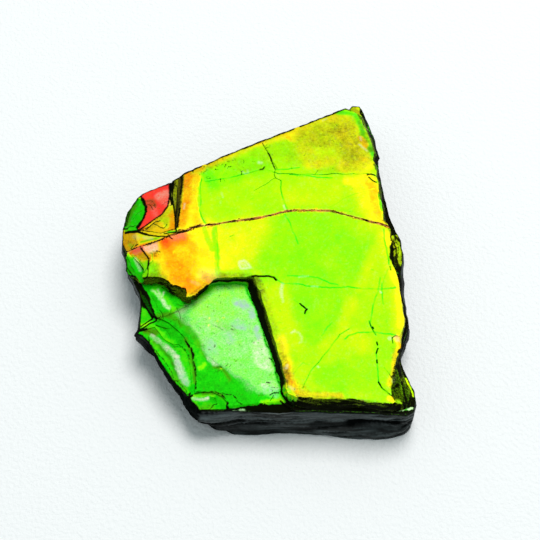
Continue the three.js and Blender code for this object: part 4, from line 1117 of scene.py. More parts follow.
UPPER_FILM = [
    # the lime of the middle, with its greener and its yellower parts
    (0.44, 0.95, 0.5, 3.0, [(-1.5, -2.6), (0.6, 0.0), (4.0, 3.6), (8.0, 3.0), (11.0, -0.5),
        (10.0, -3.8), (3.0, -3.6)], True),
    (0.44, 0.90, 0.5, 2.0, [(4.5, -6.2), (8.0, -6.0), (8.3, -9.5), (6.0, -12.0),
        (4.4, -8.5)], True),
    (0.48, 0.80, 0.8, 2.0, [(11.0, -6.5), (12.0, -9.0), (11.2, -10.8)]),
    (0.42, 0.80, 0.6, 1.6, [(6.8, -17.5), (8.4, -18.2), (8.8, -16.8)], True),
    (0.455, 0.90, 1.0, 2.0, [(11.4, -16.0), (12.0, -18.8)]),
    (0.46, 0.80, 0.6, 1.6, [(14.4, -10.0), (13.8, -14.0)]),
    (0.60, 0.80, 1.2, 2.2, [(-4.0, 1.8), (-1.8, 2.6), (-3.2, -0.8)]),
    (0.47, 0.90, 0.4, 1.0, [(-7.4, 10.6), (-5.0, 11.6), (-2.0, 12.2), (0.0, 11.4), (-3.0, 10.3),
        (-5.5, 9.8)], True),
    (0.40, 0.90, 0.3, 0.8, [(-7.4, 10.4), (-6.7, 9.4), (-6.2, 8.0), (-5.7, 6.6)]),
    (0.52, 0.80, 1.5, 1.5, [(-6.0, 6.0), (-2.0, 7.2), (1.0, 8.0)]),
    (0.56, 0.80, 1.0, 2.0, [(4.0, 7.5), (8.0, 8.2)]),
    # yellow along the far edge and in its corner
    (0.66, 0.90, 0.3, 0.9, [(-7.0, 12.2), (-3.5, 14.0), (0.0, 15.6), (7.0, 18.8)]),
    (0.78, 0.85, 0.15, 0.6, [(-9.2, 11.0), (-8.0, 11.4)]),
    (0.72, 0.80, 0.1, 0.5, [(-7.8, 11.8), (-5.0, 13.2)]),
    (0.75, 0.70, 0.2, 0.7, [(-1.8, 14.9), (-0.4, 15.5)]),
    (0.70, 0.70, 0.4, 1.0, [(1.6, 16.4), (3.6, 16.4), (4.6, 17.2)]),
    (0.76, 0.70, 0.1, 0.5, [(3.0, 15.9), (3.7, 15.5)]),
    (0.76, 0.75, 0.15, 0.6, [(5.5, 14.2), (5.9, 13.8)]),
    (0.615, 0.90, 2.2, 2.2, [(7.0, 14.8), (10.5, 15.5)]),
    (0.665, 0.70, 0.5, 1.4, [(10.4, 16.8), (11.4, 14.2)]),
    (0.67, 0.80, 0.4, 0.9, [(8.5, 19.0), (10.0, 18.7)]),
    (0.71, 0.70, 0.6, 1.0, [(10.2, 11.6), (12.6, 12.0)]),
    (0.66, 0.70, 0.3, 0.9, [(5.5, 12.0), (8.2, 12.2)]),
    (0.35, 0.95, 0.08, 0.4, [(9.3, 19.8), (10.6, 19.6), (11.4, 19.3), (12.0, 17.8), (12.6, 16.0),
        (13.2, 14.4), (13.6, 12.8)]),
    (0.30, 0.95, 0.15, 0.4, [(13.5, 13.9), (13.8, 13.0)]),
    (0.76, 0.90, 0.2, 0.4, [(12.2, 15.9), (12.6, 15.2), (12.8, 14.6)]),
    # yellow down the right side
    (0.65, 0.90, 0.8, 1.8, [(12.2, 9.4), (13.3, 6.6), (13.8, 4.2)]),
    (0.74, 0.85, 0.3, 0.8, [(12.9, 9.8), (13.6, 8.0), (14.0, 5.0), (14.3, 3.6)]),
    (0.71, 0.60, 0.3, 0.8, [(10.4, 9.6), (11.8, 9.3)]),
    (0.36, 0.90, 0.05, 0.25, [(14.25, 7.6), (14.5, 5.6), (14.7, 4.0)]),
    (0.60, 0.80, 0.3, 1.2, [(14.6, 1.6), (15.0, -1.0), (15.4, -3.6), (16.1, -8.0), (15.9, -11.0)]),
    (0.715, 0.85, 0.1, 0.7, [(15.5, -3.6), (16.1, -6.0), (16.4, -9.0), (16.2, -10.6)]),
    (0.68, 0.80, 0.2, 0.5, [(14.9, 1.8), (15.0, 0.6)]),
    (0.58, 0.60, 0.2, 1.0, [(13.4, -0.6), (12.4, -3.0), (11.4, -5.4)]),
    (0.59, 0.70, 0.2, 1.0, [(10.3, -7.4), (9.9, -9.0), (9.3, -10.6)]),
    (0.57, 0.60, 0.2, 0.9, [(9.3, -10.8), (7.6, -12.8), (6.8, -13.6)]),
    (0.60, 0.60, 0.3, 1.4, [(10.6, -12.0), (11.6, -13.4)]),
    (0.57, 0.50, 0.3, 1.2, [(1.9, -5.6), (2.2, -10.0), (3.6, -13.0)]),
    # yellow and orange on the left
    (0.63, 1.00, 1.2, 2.2, [(-5.0, 0.8), (-5.8, -1.0), (-5.2, -3.0)]),
    (0.685, 1.00, 1.2, 2.0, [(-8.0, 1.8), (-7.8, -0.5), (-7.2, -3.0)]),
    (0.71, 1.00, 0.4, 0.6, [(-8.9, 10.0), (-8.8, 6.5), (-9.0, 3.6)]),
    (0.745, 1.00, 1.0, 1.8, [(-10.6, 0.5), (-10.0, -1.8), (-9.2, -4.0), (-8.2, -5.2)]),
    (0.79, 1.00, 0.5, 1.6, [(-12.0, 0.0), (-11.4, -2.0), (-10.8, -4.0), (-9.6, -5.4)]),
    (0.88, 0.90, 0.3, 1.1, [(-12.2, 0.9), (-11.2, 1.2), (-10.4, 1.5)]),
    (0.77, 0.80, 0.2, 0.8, [(-7.2, -4.6), (-8.2, -5.6)]),
    (0.80, 1.00, 0.3, 0.7, [(-10.0, 10.3), (-9.9, 7.0), (-10.3, 3.2)]),
    (0.50, 0.80, 0.15, 0.4, [(-7.6, 2.8), (-7.1, 1.4), (-6.7, 0.4), (-6.5, -0.4)]),
    (0.45, 0.85, 0.12, 0.3, [(-6.3, 2.9), (-6.2, 1.4), (-6.05, -0.2), (-5.9, -1.6)]),
    (0.50, 0.60, 0.10, 0.3, [(-5.9, -1.6), (-5.8, -3.4)]),
    (0.49, 0.80, 0.10, 0.3, [(-8.1, 10.0), (-8.2, 7.0), (-7.9, 4.4), (-7.5, 3.2)]),
    (0.73, 1.00, 0.3, 1.1, [(-13.8, -0.9), (-13.4, -2.0), (-12.6, -3.2)]),
    (0.47, 0.95, 0.2, 1.1, [(-14.4, -3.6), (-13.9, -2.8), (-13.6, -3.8)]),
    (0.52, 0.70, 0.1, 0.6, [(-5.6, -3.8), (-3.0, -3.6), (-0.6, -3.6)]),
    # against the lip of the step
    (0.575, 0.80, 0.1, 0.8, [(-0.2, -5.4), (0.6, -8.0), (1.5, -11.0)]),
    (0.68, 0.90, 0.2, 0.9, [(1.8, -12.6), (2.6, -15.4), (3.0, -18.0), (4.2, -19.4)]),
    (0.745, 0.90, 0.1, 0.6, [(2.6, -15.4), (2.8, -17.8), (3.5, -19.2)]),
    (0.71, 0.80, 0.1, 0.5, [(4.0, -19.6), (8.8, -19.7)]),
    (0.49, 0.80, 0.1, 0.5, [(9.4, -19.4), (13.6, -20.2)]),
    (0.47, 0.90, 0.3, 0.7, [(13.0, -19.1), (14.0, -19.5)]),
    (0.74, 0.90, 0.1, 0.4, [(14.5, -20.1), (14.9, -20.3)]),
    (0.76, 0.90, 0.15, 0.4, [(15.6, -12.3), (15.9, -13.3)]),
    (0.72, 0.90, 0.10, 0.4, [(15.8, -13.4), (15.3, -14.6), (15.0, -16.8), (14.7, -18.4)]),
]

UPPER_FACETS = [
    ((-11.2, 7.5), {"film": 0.62, "dull": 0.62, "haze": 0, "dark": 0.25}),
    ((-12.3, 4.2), {"film": 0.735, "dull": 0.10, "haze": 0, "dark": 0}),
    ((-13.5, 7.0), {"film": 0.975, "dull": 0, "haze": 0.02, "dark": 0}),
    ((-16.2, 6.0), {"film": 0.225, "dull": 0.08, "haze": 0, "dark": 0}),
    ((-13.8, 1.9), {"film": 0.71, "dull": 0.10, "haze": 0, "dark": 0}),
    ((-17.0, 1.5), {"film": 0.76, "dull": 0.35, "haze": 0, "dark": 0}),
    ((-14.9, -2.2), {"film": 0.44, "dull": 0.25, "haze": 0, "dark": 0}),
    ((-16.0, -1.7), {"film": 0.24, "dull": 0.0, "haze": 0, "dark": 0}),
    ((-16.7, -2.1), {"film": 0.21, "dull": 0.15, "haze": 0, "dark": 0}),
    ((-15.6, -3.5), {"film": 0.225, "dull": 0.10, "haze": 0, "dark": 0}),
]
CORNER_FILM = [
    (0.58, 0.80, 0.2, 0.4, [(-12.9, 4.4), (-12.3, 4.4), (-12.2, 3.5)]),
    (0.79, 0.90, 0.2, 0.5, [(-11.6, 2.9), (-11.4, 4.6)]),
    (0.63, 0.90, 0.1, 0.3, [(-11.7, 6.4), (-12.1, 5.6), (-12.6, 5.0)]),
    (0.30, 0.90, 0.05, 0.2, [(-11.9, 2.3), (-11.0, 2.4)]),
    (0.88, 0.90, 0.1, 0.3, [(-15.2, 3.2), (-15.6, 2.9)]),
    (0.15, 0.80, 0.2, 0.5, [(-17.2, 4.6), (-16.9, 5.8), (-16.4, 6.8)]),
    (0.27, 0.90, 0.1, 0.3, [(-17.3, 3.1), (-16.4, 3.0)]),
    (0.64, 0.80, 0.1, 0.3, [(-15.5, 1.9), (-13.4, 1.5)]),
    (0.42, 0.80, 0.03, 0.2, [(-15.4, 0.95), (-13.0, 1.45)]),
    (0.60, 0.80, 0.05, 0.3, [(-16.8, 0.8), (-16.5, 0.4)]),
    (0.93, 0.95, 0.02, 0.2, [(-16.6, -0.1), (-15.4, 0.35), (-14.6, 0.6)]),
    (0.78, 0.90, 0.3, 0.7, [(-15.8, -1.1), (-14.6, -1.3), (-13.2, -0.7)]),
    (0.86, 1.00, 0.2, 0.6, [(-16.4, -0.5), (-15.2, -0.3), (-13.6, 0.2)]),
    (0.94, 1.00, 0.08, 0.35, [(-16.1, -0.3), (-15.1, -0.05)]),
    (0.225, 0.90, 0.15, 0.4, [(-16.3, -1.5), (-15.5, -2.8)]),
    (0.44, 0.80, 0.10, 0.3, [(-14.5, -2.0), (-14.3, -2.8)]),
]
# Painted highlights and pale patches on the chipped corner.
CORNER_HAZE = [
    (0.30, 0.90, 0.30, 0.60, [(-13.3, 7.9), (-12.5, 8.3)]),
    (0.14, 0.90, 0.30, 0.70, [(-12.6, 7.2), (-12.1, 7.0)]),
    (0.12, 0.80, 0.10, 0.50, [(-14.0, 6.0), (-13.8, 5.2)]),
    (0.45, 0.95, 0.03, 0.50, [(-14.9, -0.1), (-13.5, 0.35), (-13.4, -0.2), (-14.2, -0.5)], True),
    (0.10, 0.90, 0.12, 0.40, [(-16.0, -0.5), (-15.3, -0.2)]),
    (0.42, 0.90, 0.04, 0.25, [(-15.95, -1.4), (-15.5, -2.2), (-15.3, -2.8)]),
    (0.16, 0.80, 0.10, 0.40, [(-16.2, 1.9), (-15.9, 1.6)]),
    (0.20, 0.80, 0.05, 0.30, [(-15.0, 1.6), (-14.0, 1.4)]),
]
# Painted highlights and glints on the face, and its pale milky spots.
UPPER_HAZE = [
    (0.50, 0.90, 0.03, 0.22, [(-3.2, -2.0), (-2.6, -1.8), (-2.1, -2.3), (-1.8, -2.8),
        (-2.4, -2.95), (-3.0, -3.0), (-3.2, -2.5), (-3.2, -2.0)]),
    (0.30, 0.90, 0.05, 0.30, [(-2.8, -2.3), (-2.4, -2.6)]),
    (0.42, 0.90, 0.03, 0.25, [(2.05, -5.1), (1.9, -5.9), (2.0, -6.8)]),
    (0.30, 0.80, 0.01, 0.20, [(2.0, -6.8), (2.15, -7.5)]),
    (0.45, 0.80, 0.03, 0.20, [(3.1, -11.6), (3.4, -11.4)]),
    (0.22, 0.80, 0.02, 0.20, [(3.4, -11.4), (3.9, -11.6), (4.3, -12.2), (4.25, -12.8)]),
    (0.40, 0.80, 0.02, 0.15, [(4.05, -12.9)]),
    (0.50, 0.80, 0.10, 0.25, [(14.75, -12.4)]),
    (0.45, 0.90, 0.04, 0.25, [(-0.9, 12.3), (-0.6, 12.2)]),
    (0.25, 0.80, 0.02, 0.16, [(-2.9, 10.9), (-2.6, 10.6), (-2.2, 10.7), (-2.3, 11.1)]),
    (0.20, 0.80, 0.01, 0.16, [(-5.5, 7.8), (-5.3, 7.1)]),
    (0.16, 0.80, 0.01, 0.14, [(-5.6, 6.5), (-5.6, 6.2)]),
    (0.15, 0.80, 0.05, 0.90, [(-11.4, 1.5), (-10.4, 1.8)]),
    (0.40, 0.80, 0.02, 0.15, [(11.9, 14.9), (12.5, 14.3), (12.9, 13.9)]),
    (0.35, 0.80, 0.02, 0.15, [(12.1, 16.0), (12.2, 15.5)]),
    (0.09, 0.80, 0.40, 0.90, [(-7.4, -3.8), (-6.4, -4.0)]),
    (0.50, 0.80, 0.01, 0.16, [(2.3, 5.9), (2.5, 5.3)]),
    (0.30, 0.80, 0.01, 0.13, [(7.3, 18.6), (7.9, 18.9)]),
    (0.25, 0.80, 0.03, 0.22, [(2.8, -18.7), (3.3, -19.0)]),
    (0.40, 0.80, 0.03, 0.20, [(2.6, -15.9), (2.5, -16.3)]),
    (0.30, 0.80, 0.15, 0.25, [(15.5, -12.3), (15.7, -12.6)]),
    (0.50, 0.80, 0.05, 0.18, [(15.0, -17.9), (15.2, -17.4)]),
    (0.30, 0.80, 0.02, 0.15, [(5.6, -5.45), (6.3, -5.45)]),
    (0.55, 0.80, 0.02, 0.14, [(13.9, -6.1), (14.0, -6.2)]),
    (0.60, 0.80, 0.02, 0.14, [(6.15, -16.0), (6.25, -16.1)]),
    (0.50, 0.80, 0.01, 0.14, [(-10.15, 5.4), (-10.05, 6.2)]),
    (0.22, 0.80, 0.02, 0.16, [(4.0, -4.1), (5.2, -4.0)]),
    (0.14, 0.80, 0.05, 0.30, [(-8.9, -4.8), (-8.2, -5.2)]),
]
UPPER_DULL = [
    (0.19, 1.0, 1.2, 1.6, [(-3.0, 12.4), (3.0, 14.2), (9.0, 16.0)]),
    (0.40, 1.0, 1.4, 2.2, [(6.5, 16.4), (9.6, 17.2), (11.0, 13.2), (8.0, 13.6)], True),
    (0.50, 1.0, 0.4, 1.4, [(9.4, 17.6), (10.8, 15.4), (11.2, 13.4)]),
    (0.40, 1.0, 0.3, 1.2, [(7.6, 15.6), (8.6, 14.4)]),
    (0.26, 1.0, 1.0, 1.5, [(4.4, 13.2), (8.0, 12.6)]),
    (0.50, 1.0, 0.2, 0.5, [(12.2, 18.2), (12.8, 16.2), (13.4, 14.2)]),
    (0.25, 1.0, 0.3, 0.6, [(-10.2, 9.8), (-10.1, 7.0), (-10.5, 3.6)]),
    (0.30, 0.9, 0.2, 0.5, [(-7.2, -4.3), (-5.4, -3.9)]),
    (0.32, 0.9, 0.3, 0.8, [(2.9, -16.5), (3.3, -18.4), (4.6, -19.0)]),
    (0.36, 0.9, 0.2, 1.0, [(-14.2, -2.4), (-13.4, -2.6), (-13.2, -3.6)]),
    (0.26, 0.9, 0.05, 0.4, [(-5.8, 13.0), (0.0, 15.6), (8.0, 19.1)]),
    (0.36, 0.9, 0.2, 0.5, [(-9.4, 10.6), (-8.4, 10.9), (-7.0, 11.6), (-5.0, 12.6)]),
    (0.20, 0.9, 0.4, 0.8, [(-5.0, 12.4), (-2.0, 12.9), (0.8, 13.5)]),
    # painted shade down the rounded lip of the step
    (0.97, 1.0, 0.02, 0.40, [(-1.3, -4.5), (-0.5, -6.9), (0.5, -10.6), (1.45, -13.9), (2.1, -16.6),
        (2.6, -18.6)]),
    (0.34, 1.0, 0.2, 0.8, [(-1.0, -4.7), (-0.1, -7.1), (0.9, -10.8), (1.7, -13.6), (2.3, -16.0)]),
    (0.60, 1.0, 0.3, 0.6, [(-1.5, -4.5), (-0.9, -5.3), (-0.6, -5.9)]),
    (0.62, 1.0, 0.1, 0.5, [(1.9, -14.4), (2.3, -16.0), (2.6, -17.4)]),
    # painted shade along the rim above the step's back wall
    (0.60, 0.9, 0.05, 0.6, [(-5.6, -4.0), (-2.0, -3.9)]),
    (0.75, 0.9, 0.02, 0.30, [(3.6, -19.7), (8.0, -20.0), (14.0, -20.8)]),
    (0.35, 0.9, 0.2, 0.6, [(3.0, -18.6), (3.8, -19.2), (6.0, -19.6), (9.0, -19.7)]),
    (0.40, 0.8, 0.1, 0.5, [(15.2, -13.8), (15.0, -16.0), (14.6, -18.6)]),
    (0.20, 0.8, 0.3, 0.7, [(-8.8, 10.6), (-9.4, 8.4), (-9.8, 6.6)]),
    (0.45, 0.9, 0.1, 0.3, [(-6.2, -4.4), (-7.2, -5.1), (-8.4, -6.1), (-9.0, -6.6)]),
    (0.58, 0.9, 0.1, 0.6, [(-16.1, -0.6), (-15.4, -0.9), (-14.4, -1.2), (-13.6, -0.8)]),
    (0.50, 0.8, 0.15, 0.6, [(-13.8, -3.9), (-12.4, -4.3)]),
]
CORNER_DULL = [
    (0.97, 1.0, 0.28, 0.12, CHIP_RIDGE),
    (0.97, 1.0, 0.13, 0.12, CHIP_RIDGE_END),
    (0.60, 0.9, 0.15, 0.35, [(-14.8, 7.2), (-14.2, 7.2), (-13.9, 6.6)]),
    (0.45, 0.9, 0.15, 0.35, [(-14.8, 6.7), (-14.4, 6.2)]),
    (0.45, 0.9, 0.10, 0.50, [(-14.6, 3.0), (-13.8, 3.6), (-13.2, 4.6), (-12.6, 5.4)]),
    (0.30, 0.9, 0.20, 0.50, [(-12.4, 4.0), (-12.0, 5.6)]),
    (0.60, 0.8, 0.10, 0.50, [(-17.3, 3.9), (-17.2, 5.2), (-16.5, 6.6)]),
    (0.55, 0.9, 0.02, 0.18, [(-15.4, 1.0), (-13.4, 1.35)]),
    (0.60, 0.9, 0.05, 0.40, [(-16.9, 1.2), (-16.6, 0.5)]),
    (0.50, 0.8, 0.10, 0.40, [(-15.4, -1.0), (-14.2, -1.6)]),
]
UPPER_DARK = [
    # the chipped corner
    (0.45, 1.0, 0.28, 0.10, CHIP_RIDGE),
    (0.55, 1.0, 0.11, 0.10, CHIP_RIDGE_END),
    (0.85, 1.0, 0.06, 0.20, [(-10.6, 10.5), (-10.5, 9.2), (-10.6, 7.6)]),
    (0.60, 1.0, 0.05, 0.25, [(-11.5, 9.8), (-11.4, 9.2)]),
    (0.98, 1.0, 0.12, 0.14, [(-15.35, 7.3), (-14.95, 6.4), (-14.95, 5.6)]),
    (0.97, 1.0, 0.05, 0.14, [(-14.95, 5.6), (-15.15, 4.8), (-15.5, 4.1), (-15.9, 3.2)]),
    (0.75, 1.0, 0.02, 0.12, [(-14.6, 3.3), (-15.3, 2.85)]),
    (0.80, 1.0, 0.01, 0.12, [(-14.4, 3.4), (-13.9, 3.9), (-13.4, 4.2)]),
    (0.72, 0.9, 0.12, 0.30, [(-17.5, 3.8), (-17.4, 5.0), (-16.9, 6.6), (-16.2, 7.6)]),
    (0.80, 1.0, 0.02, 0.14, [(-17.1, -1.2), (-17.0, -2.2), (-16.3, -3.3), (-15.5, -4.2)]),
    (0.98, 1.0, 0.10, 0.14, CHIP_BREAK),
    (0.95, 1.0, 0.02, 0.14, CHIP_BREAK_END),
    (0.45, 1.0, 0.01, 0.12, [(-16.7, -1.1), (-16.0, -0.95), (-15.3, -1.6), (-14.95, -2.6),
        (-14.95, -3.6)]),
    (1.00, 1.0, 0.14, 0.12, [(-10.9, 2.15), (-10.2, 2.15), (-9.75, 2.25)]),
    # the broken near right corner
    (0.72, 1.0, 0.0, 0.10, [(15.95, -13.7), (15.5, -14.7), (15.3, -16.0), (15.0, -17.2),
        (14.75, -18.6), (14.75, -19.5), (15.1, -20.3), (17.6, -21.0), (18.0, -18.0),
        (16.6, -14.6)], True),
    (0.95, 1.0, 0.04, 0.12, [(15.8, -13.9), (15.4, -14.9), (15.2, -16.2), (14.9, -17.3)]),
    (0.95, 1.0, 0.03, 0.12, [(14.9, -18.8), (15.6, -18.2), (16.4, -17.2)]),
    (0.60, 0.9, 0.02, 0.08, [(16.0, -15.6), (16.4, -17.0), (16.9, -18.6)]),
    (0.55, 0.9, 0.02, 0.08, [(15.5, -16.0), (15.9, -17.6), (16.1, -19.2)]),
    (0.99, 0.9, 0.03, 0.12, [(15.8, -15.0), (15.9, -16.6), (16.2, -18.6), (16.6, -20.2)]),
    (0.10, 1.0, 0.05, 0.12, [(15.4, -20.2), (15.9, -20.5), (16.4, -20.8)]),
]

# Stretches of the sheet's outline, for its rims and walls.
FAR_EDGE = [(-15.3, 7.2), (-11.4, 9.5), (-10.0, 10.6), (0.0, 15.9), (5.5, 18.4), (9.5, 20.2),
            (12.0, 20.5)]
FRONT_WALL = [(3.4, -19.8), (8.0, -20.2), (14.0, -21.0)]
RAGGED_WALL = [(-14.5, -4.2), (-12.3, -4.5), (-11.0, -5.5), (-9.2, -6.5)]
STEP_WALL = [(-6.6, -4.2), (-2.4, -4.15), (-1.5, -4.8), (0.2, -10.6), (1.6, -15.6), (2.4, -18.4)]
RIGHT_WALL = [(11.9, 20.3), (13.5, 12.9), (13.9, 9.6), (14.8, 4.9), (15.3, 3.0)]
NEAR_RIGHT_WALL = [(15.6, -3.4), (16.3, -6.0), (16.8, -9.0), (16.4, -12.2)]
BROKEN_CORNER = [(15.6, -14.6), (16.2, -17.0), (16.6, -20.0)]
NOSE = [(-16.4, -1.0), (-15.6, -2.2), (-15.1, -3.4)]
LEFT_WALL = [(-17.8, 0.0), (-17.3, -1.6), (-16.7, -2.8), (-15.9, -3.9)]
STEP_CORNER = [(2.4, -18.9), (3.0, -19.6)]

# The scatter of short scratches, thickest by the far edge and on the chipped corner.
UPPER_CRACKS += scratches([
    (26, -5.6, 12.2, 1.2, 1.00), (14, -8.4, 10.9, 0.6, 1.00), (16, -3.4, 11.6, 1.2, 0.90),
    (8, -9.4, 8.4, 0.8, 0.60), (14, 3.2, 14.2, 2.2, 0.75), (12, 9.0, 15.2, 1.8, 0.70),
    (9, -10.8, -2.0, 1.6, 0.40), (8, -8.2, -5.0, 0.7, 0.60), (6, -13.6, -0.9, 0.4, 0.85),
    (9, 3.6, -18.6, 0.7, 0.55), (9, 7.4, -18.8, 1.6, 0.45), (6, 12.6, -18.9, 1.2, 0.40),
    (6, -0.2, -5.6, 0.5, 0.85), (7, 1.2, -12.0, 0.7, 0.50), (6, 12.7, -11.0, 0.5, 0.70),
    (8, -14.3, 6.9, 0.35, 0.85), (5, -16.6, 5.2, 0.5, 0.75), (6, -12.6, 4.6, 0.5, 0.65),
], 72)

upper_lines = [wander(course) for *_, course in UPPER_CRACKS]
upper = fine_skin(
    "upper_ammolite_sheet", UPPER_WALL_GRAIN, UPPER_FACE_GRAIN, upper_lines)
on_face, on_wall, on_base = sides_of(upper)
only_wall = on_wall & ~on_face
plan = strayed_places(upper.places, amount=0.26, seed=31)
near_plan = strayed_places(upper.places, amount=0.10, seed=51)

# The places themselves in plan, which go along when the places are moved below.
upper_plan = upper.places[:, :2]

marks = bare_marks(upper, film=0.515)
lay(marks["film"], UPPER_FILM, plan)
lay(marks["haze"], UPPER_HAZE, near_plan)
lay(marks["dull"], UPPER_DULL, near_plan)
blotches = grain_at(upper.places, 1.5, 53)
marks["dull"] *= np.clip(1 + 0.5 * blotches + 0.5 * grain_at(upper.places, 0.35, 54), 0.4, 1.7)
warm = np.clip(marks["film"] / 0.1 - 6.2, 0, 1)
marks["film"] += 0.035 * grain_at(upper.places, 3.0, 33)
marks["film"] += (0.016 + 0.022 * warm) * grain_at(upper.places, 0.9, 34)
marks["film"] += 0.014 * grain_at(upper.places, 0.4, 37)
frost = grain_at(upper.places, 0.3, 52)
lay_on_facets(marks, upper, UPPER_FACETS)
lay(marks["film"], CORNER_FILM, near_plan)
lay(marks["haze"], CORNER_HAZE, near_plan)
lay(marks["dull"], CORNER_DULL, near_plan)
lay(marks["dark"], UPPER_DARK, near_plan)
marks["haze"] += np.clip(0.07 * frost - 0.014, 0, 0.035) * (1 - 0.4 * warm)
for values in marks.values():
    blend_edges(values, upper)
cut = cut_cracks(marks, upper_plan, UPPER_CRACKS)

# The rims carry a dark line; the broken walls are dark too, darker towards their feet, and on
# the step's wall that darkening towards the foot is painted shade.
in_groove = covered(upper_plan, LONG_CRACK, 0.24, 0.06)
high = np.clip((upper.places[:, 2] - LOWER_LEVEL) / (UPPER_LEVEL - LOWER_LEVEL), 0, 1)
rim_grain = grain_at(upper.places, 0.8, 35)
rim_width = 0.13 + 0.10 * covered(upper_plan, FAR_EDGE, 0.4, 0.4)
rim_width += 0.12 * covered(upper_plan, RIGHT_WALL, 0.6, 0.6)
rim = np.clip(1.5 - upper.from_rim / rim_width, 0, 1) * (0.95 + 0.25 * rim_grain)
at_step = covered(upper_plan, STEP_WALL, 0.9, 0.3)
at_far_right = covered(plan, RIGHT_WALL, 0.8, 1.0)
at_right = np.maximum(0.35 * at_far_right, covered(plan, NEAR_RIGHT_WALL, 0.8, 1.0))
at_nose = covered(upper_plan, NOSE, 0.6, 0.3)
clean = (1 - in_groove) * (1 - 0.85 * at_step) * (1 - at_right) * (1 - 0.8 * at_nose)
marks["dark"] = np.maximum(marks["dark"], rim * clean)
layers = grain_at(upper.places, (2.2, 2.2, 0.22), 36)
at_front = covered(upper_plan, FRONT_WALL, 1.2, 0.5)
at_ragged = covered(upper_plan, RAGGED_WALL, 0.9, 0.4)
wall_dark = 0.985 + 0.1 * layers
wall_dark -= at_front * np.clip(0.42 * high - 0.05 + 0.6 * layers, 0, 0.6)
wall_dark -= at_ragged * np.clip(0.42 + 0.6 * layers, 0, 0.6)
# On the step's wall, painted shade: darker towards its foot.
wall_dark -= at_step * np.clip(2.4 * high - 1.5 + 0.5 * layers, 0, 0.75)
green_foot = covered(upper_plan, HEAD_OF_STEP, 0.6, 0.4)
green_foot *= np.clip(5 * (0.42 - high) + 0.6 * rim_grain, 0, 1)
wall_dark *= 1 - green_foot
streaks = grain_at(upper.places, (0.3, 2.4, 2.4), 39)
at_corner = covered(upper_plan, BROKEN_CORNER, 1.0, 0.5)
wall_dark -= at_corner * np.clip(0.25 + 0.8 * streaks, 0, 0.6)
at_left = covered(upper_plan, LEFT_WALL, 0.7, 0.4)
wall_dark -= at_left * np.clip(0.42 + 0.6 * layers, 0, 0.6)
out_of_sight = np.clip(2.5 * outward(upper)[:, 1] - 0.3, 0, 1)
wall_dark -= out_of_sight * np.clip(0.34 + 0.8 * layers, 0, 0.7)
sound = at_right * np.clip(6 * (high - 0.5 + 0.2 * rim_grain), 0, 1)
wall_dark *= 1 - sound
only_wall &= in_groove < 0.5
marks["dark"][only_wall] = np.clip(wall_dark, 0, 1)[only_wall]
marks["dull"][only_wall] = (0.80 - 0.70 * np.maximum(sound, green_foot))[only_wall]
marks["film"][only_wall] = (0.5 + 0.16 * sound - 0.24 * green_foot)[only_wall]

# The near left corner of the sheet isn't painted dark: it slopes away, yellow then green.
slope = np.minimum(1, 1.3 * covered(near_plan, STEP_CORNER, 0.5, 0.4)) * on_wall
spikes = grain_at(upper.places, (0.25, 0.25, 1.5), 47)
foot = np.clip(4 * (0.60 - high) + 1.2 * spikes, 0, 1)
marks["dark"] *= 1 - slope * (1 - foot)
marks["dull"] *= 1 - 0.8 * slope
greening = np.clip(2.7 - 2.9 * high + 1.2 * spikes, 0, 1)
ease(marks["film"], 0.66 - 0.34 * greening, slope)

# The long break: a dark line at its bottom, partly painted shade in the groove, with stretches
# where painted highlights make its sides shine salmon pink.
LONG_CRACK_GLOW = [
    (0.75, 1.0, 0.3, 0.6, [(-16.4, -0.2), (-13.0, 1.0)]),
    (0.85, 1.0, 0.3, 0.6, [(-9.4, 2.5), (-6.0, 3.3)]),
    (0.75, 1.0, 0.3, 0.6, [(-5.6, 3.4), (-1.0, 4.1)]),
    (0.95, 1.0, 0.3, 0.6, [(-0.6, 4.2), (3.2, 5.2)]),
    (0.70, 1.0, 0.3, 0.5, [(4.8, 5.2), (7.6, 4.9)]),
    (0.45, 1.0, 0.3, 0.6, [(9.0, 4.6), (12.6, 3.4)]),
    (0.80, 1.0, 0.3, 0.5, [(13.4, 3.2), (15.0, 2.7)]),
]
LONG_CRACK_DARK = [
    (1.10, 1.0, 0.5, 0.5, [(-17.3, -0.5), (-13.5, 0.8), (-9.7, 2.3)]),
    (0.92, 1.0, 0.5, 0.5, [(-9.2, 2.6), (-4.4, 3.6), (-0.6, 4.2)]),
    (0.70, 1.0, 0.5, 0.5, [(-0.6, 4.2), (2.6, 5.1)]),
    (0.66, 1.0, 0.5, 0.5, [(3.2, 5.2), (8.1, 4.8)]),
    (0.92, 1.0, 0.5, 0.5, [(8.6, 4.7), (13.0, 3.2), (15.9, 2.4)]),
]
from_break = np.array([
    min((Vector((x, y)) - geometry.intersect_point_line((x, y), a, b)[0].to_2d()).length
        for a, b in zip(LONG_CRACK[:-1], LONG_CRACK[1:])) if near > 0 else 9.0
    for (x, y), near in zip(upper_plan.tolist(), in_groove)])
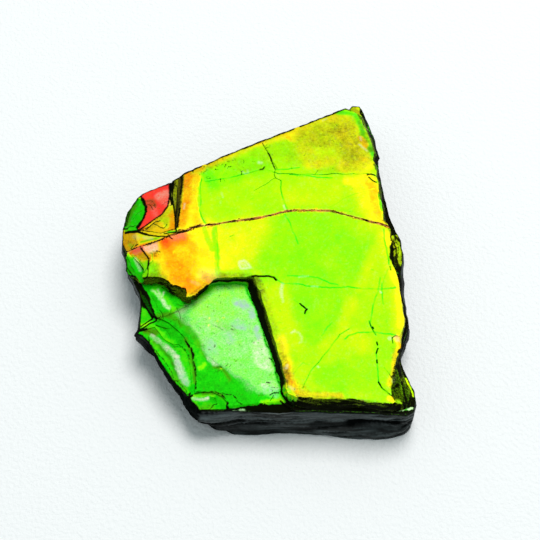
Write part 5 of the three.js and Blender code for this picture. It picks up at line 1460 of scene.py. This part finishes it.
core = np.clip(1 - from_break / 0.08, 0, 1)
depth_of_break = np.zeros(len(upper.places))
lay(depth_of_break, LONG_CRACK_DARK, upper_plan)
glow = np.zeros(len(upper.places))
lay(glow, LONG_CRACK_GLOW, upper_plan)
glow *= covered(upper_plan, LONG_CRACK, 0.06, 0.13)
ease(marks["film"], 0.90, glow)
ease(marks["haze"], 0.22, glow)
ease(marks["dull"], 0.12, in_groove * (1 - glow))
ease(marks["film"], 0.80, core)
core_grain = grain_at(upper.places, 1.1, 38)
marks["dark"] = np.maximum(
    marks["dark"], np.clip(core * depth_of_break * (0.95 + 0.35 * core_grain), 0, 1))

waves = grain_at(upper.places, 5.0, 41, 2)
dents = grain_at(upper.places, 0.7, 42, 2)
sink = (0.06 * waves - 0.014 * np.maximum(dents, 0)) * high
upper.places[:, 2] += np.where(on_base, 0, sink - cut * on_face)
jag = grain_at(upper.places, (0.9, 0.9, 0.25), 43)
jag *= on_wall * (1 - in_groove) * 0.09
jag += 0.34 * at_ragged * on_wall * grain_at(upper.places, (0.55, 0.55, 1.2), 46)
upper.places += outward(upper) * jag[:, None]
bottomed = (from_break < 0.1) & (np.abs(high - 0.87) < 0.07) & on_wall
fill = np.interp(upper.places[:, 0], (-15.0, -12.0, 15.0, 15.8), (0, 0.2, 0.2, 0))
upper.places[:, 2] += fill * bottomed
sway = 0.05 * covered(upper_plan, LONG_CRACK, 0.2, 0.8) * ~on_wall
upper.places[:, 0] += sway * grain_at(upper.places, 0.8, 44)
upper.places[:, 1] += sway * grain_at(upper.places, 0.8, 45)
rise_of_break = np.interp(upper.places[:, 0], (3.7, 8.0, 14.0, 16.0), (0, 0.32, 0.42, 0.2))
upper.places[:, 1] += rise_of_break * covered(upper_plan, LONG_CRACK, 0.3, 1.0) * ~on_base

upper_paint = shell_paint(
    "lime and orange shell", fleck_scale=1900, fleck_amount=0.35, film_stir=0.10)
upper_sheet = make_piece("upper_shell_sheet", upper, marks, upper_paint, smooth_below=38)
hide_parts("upper_ammolite_sheet")
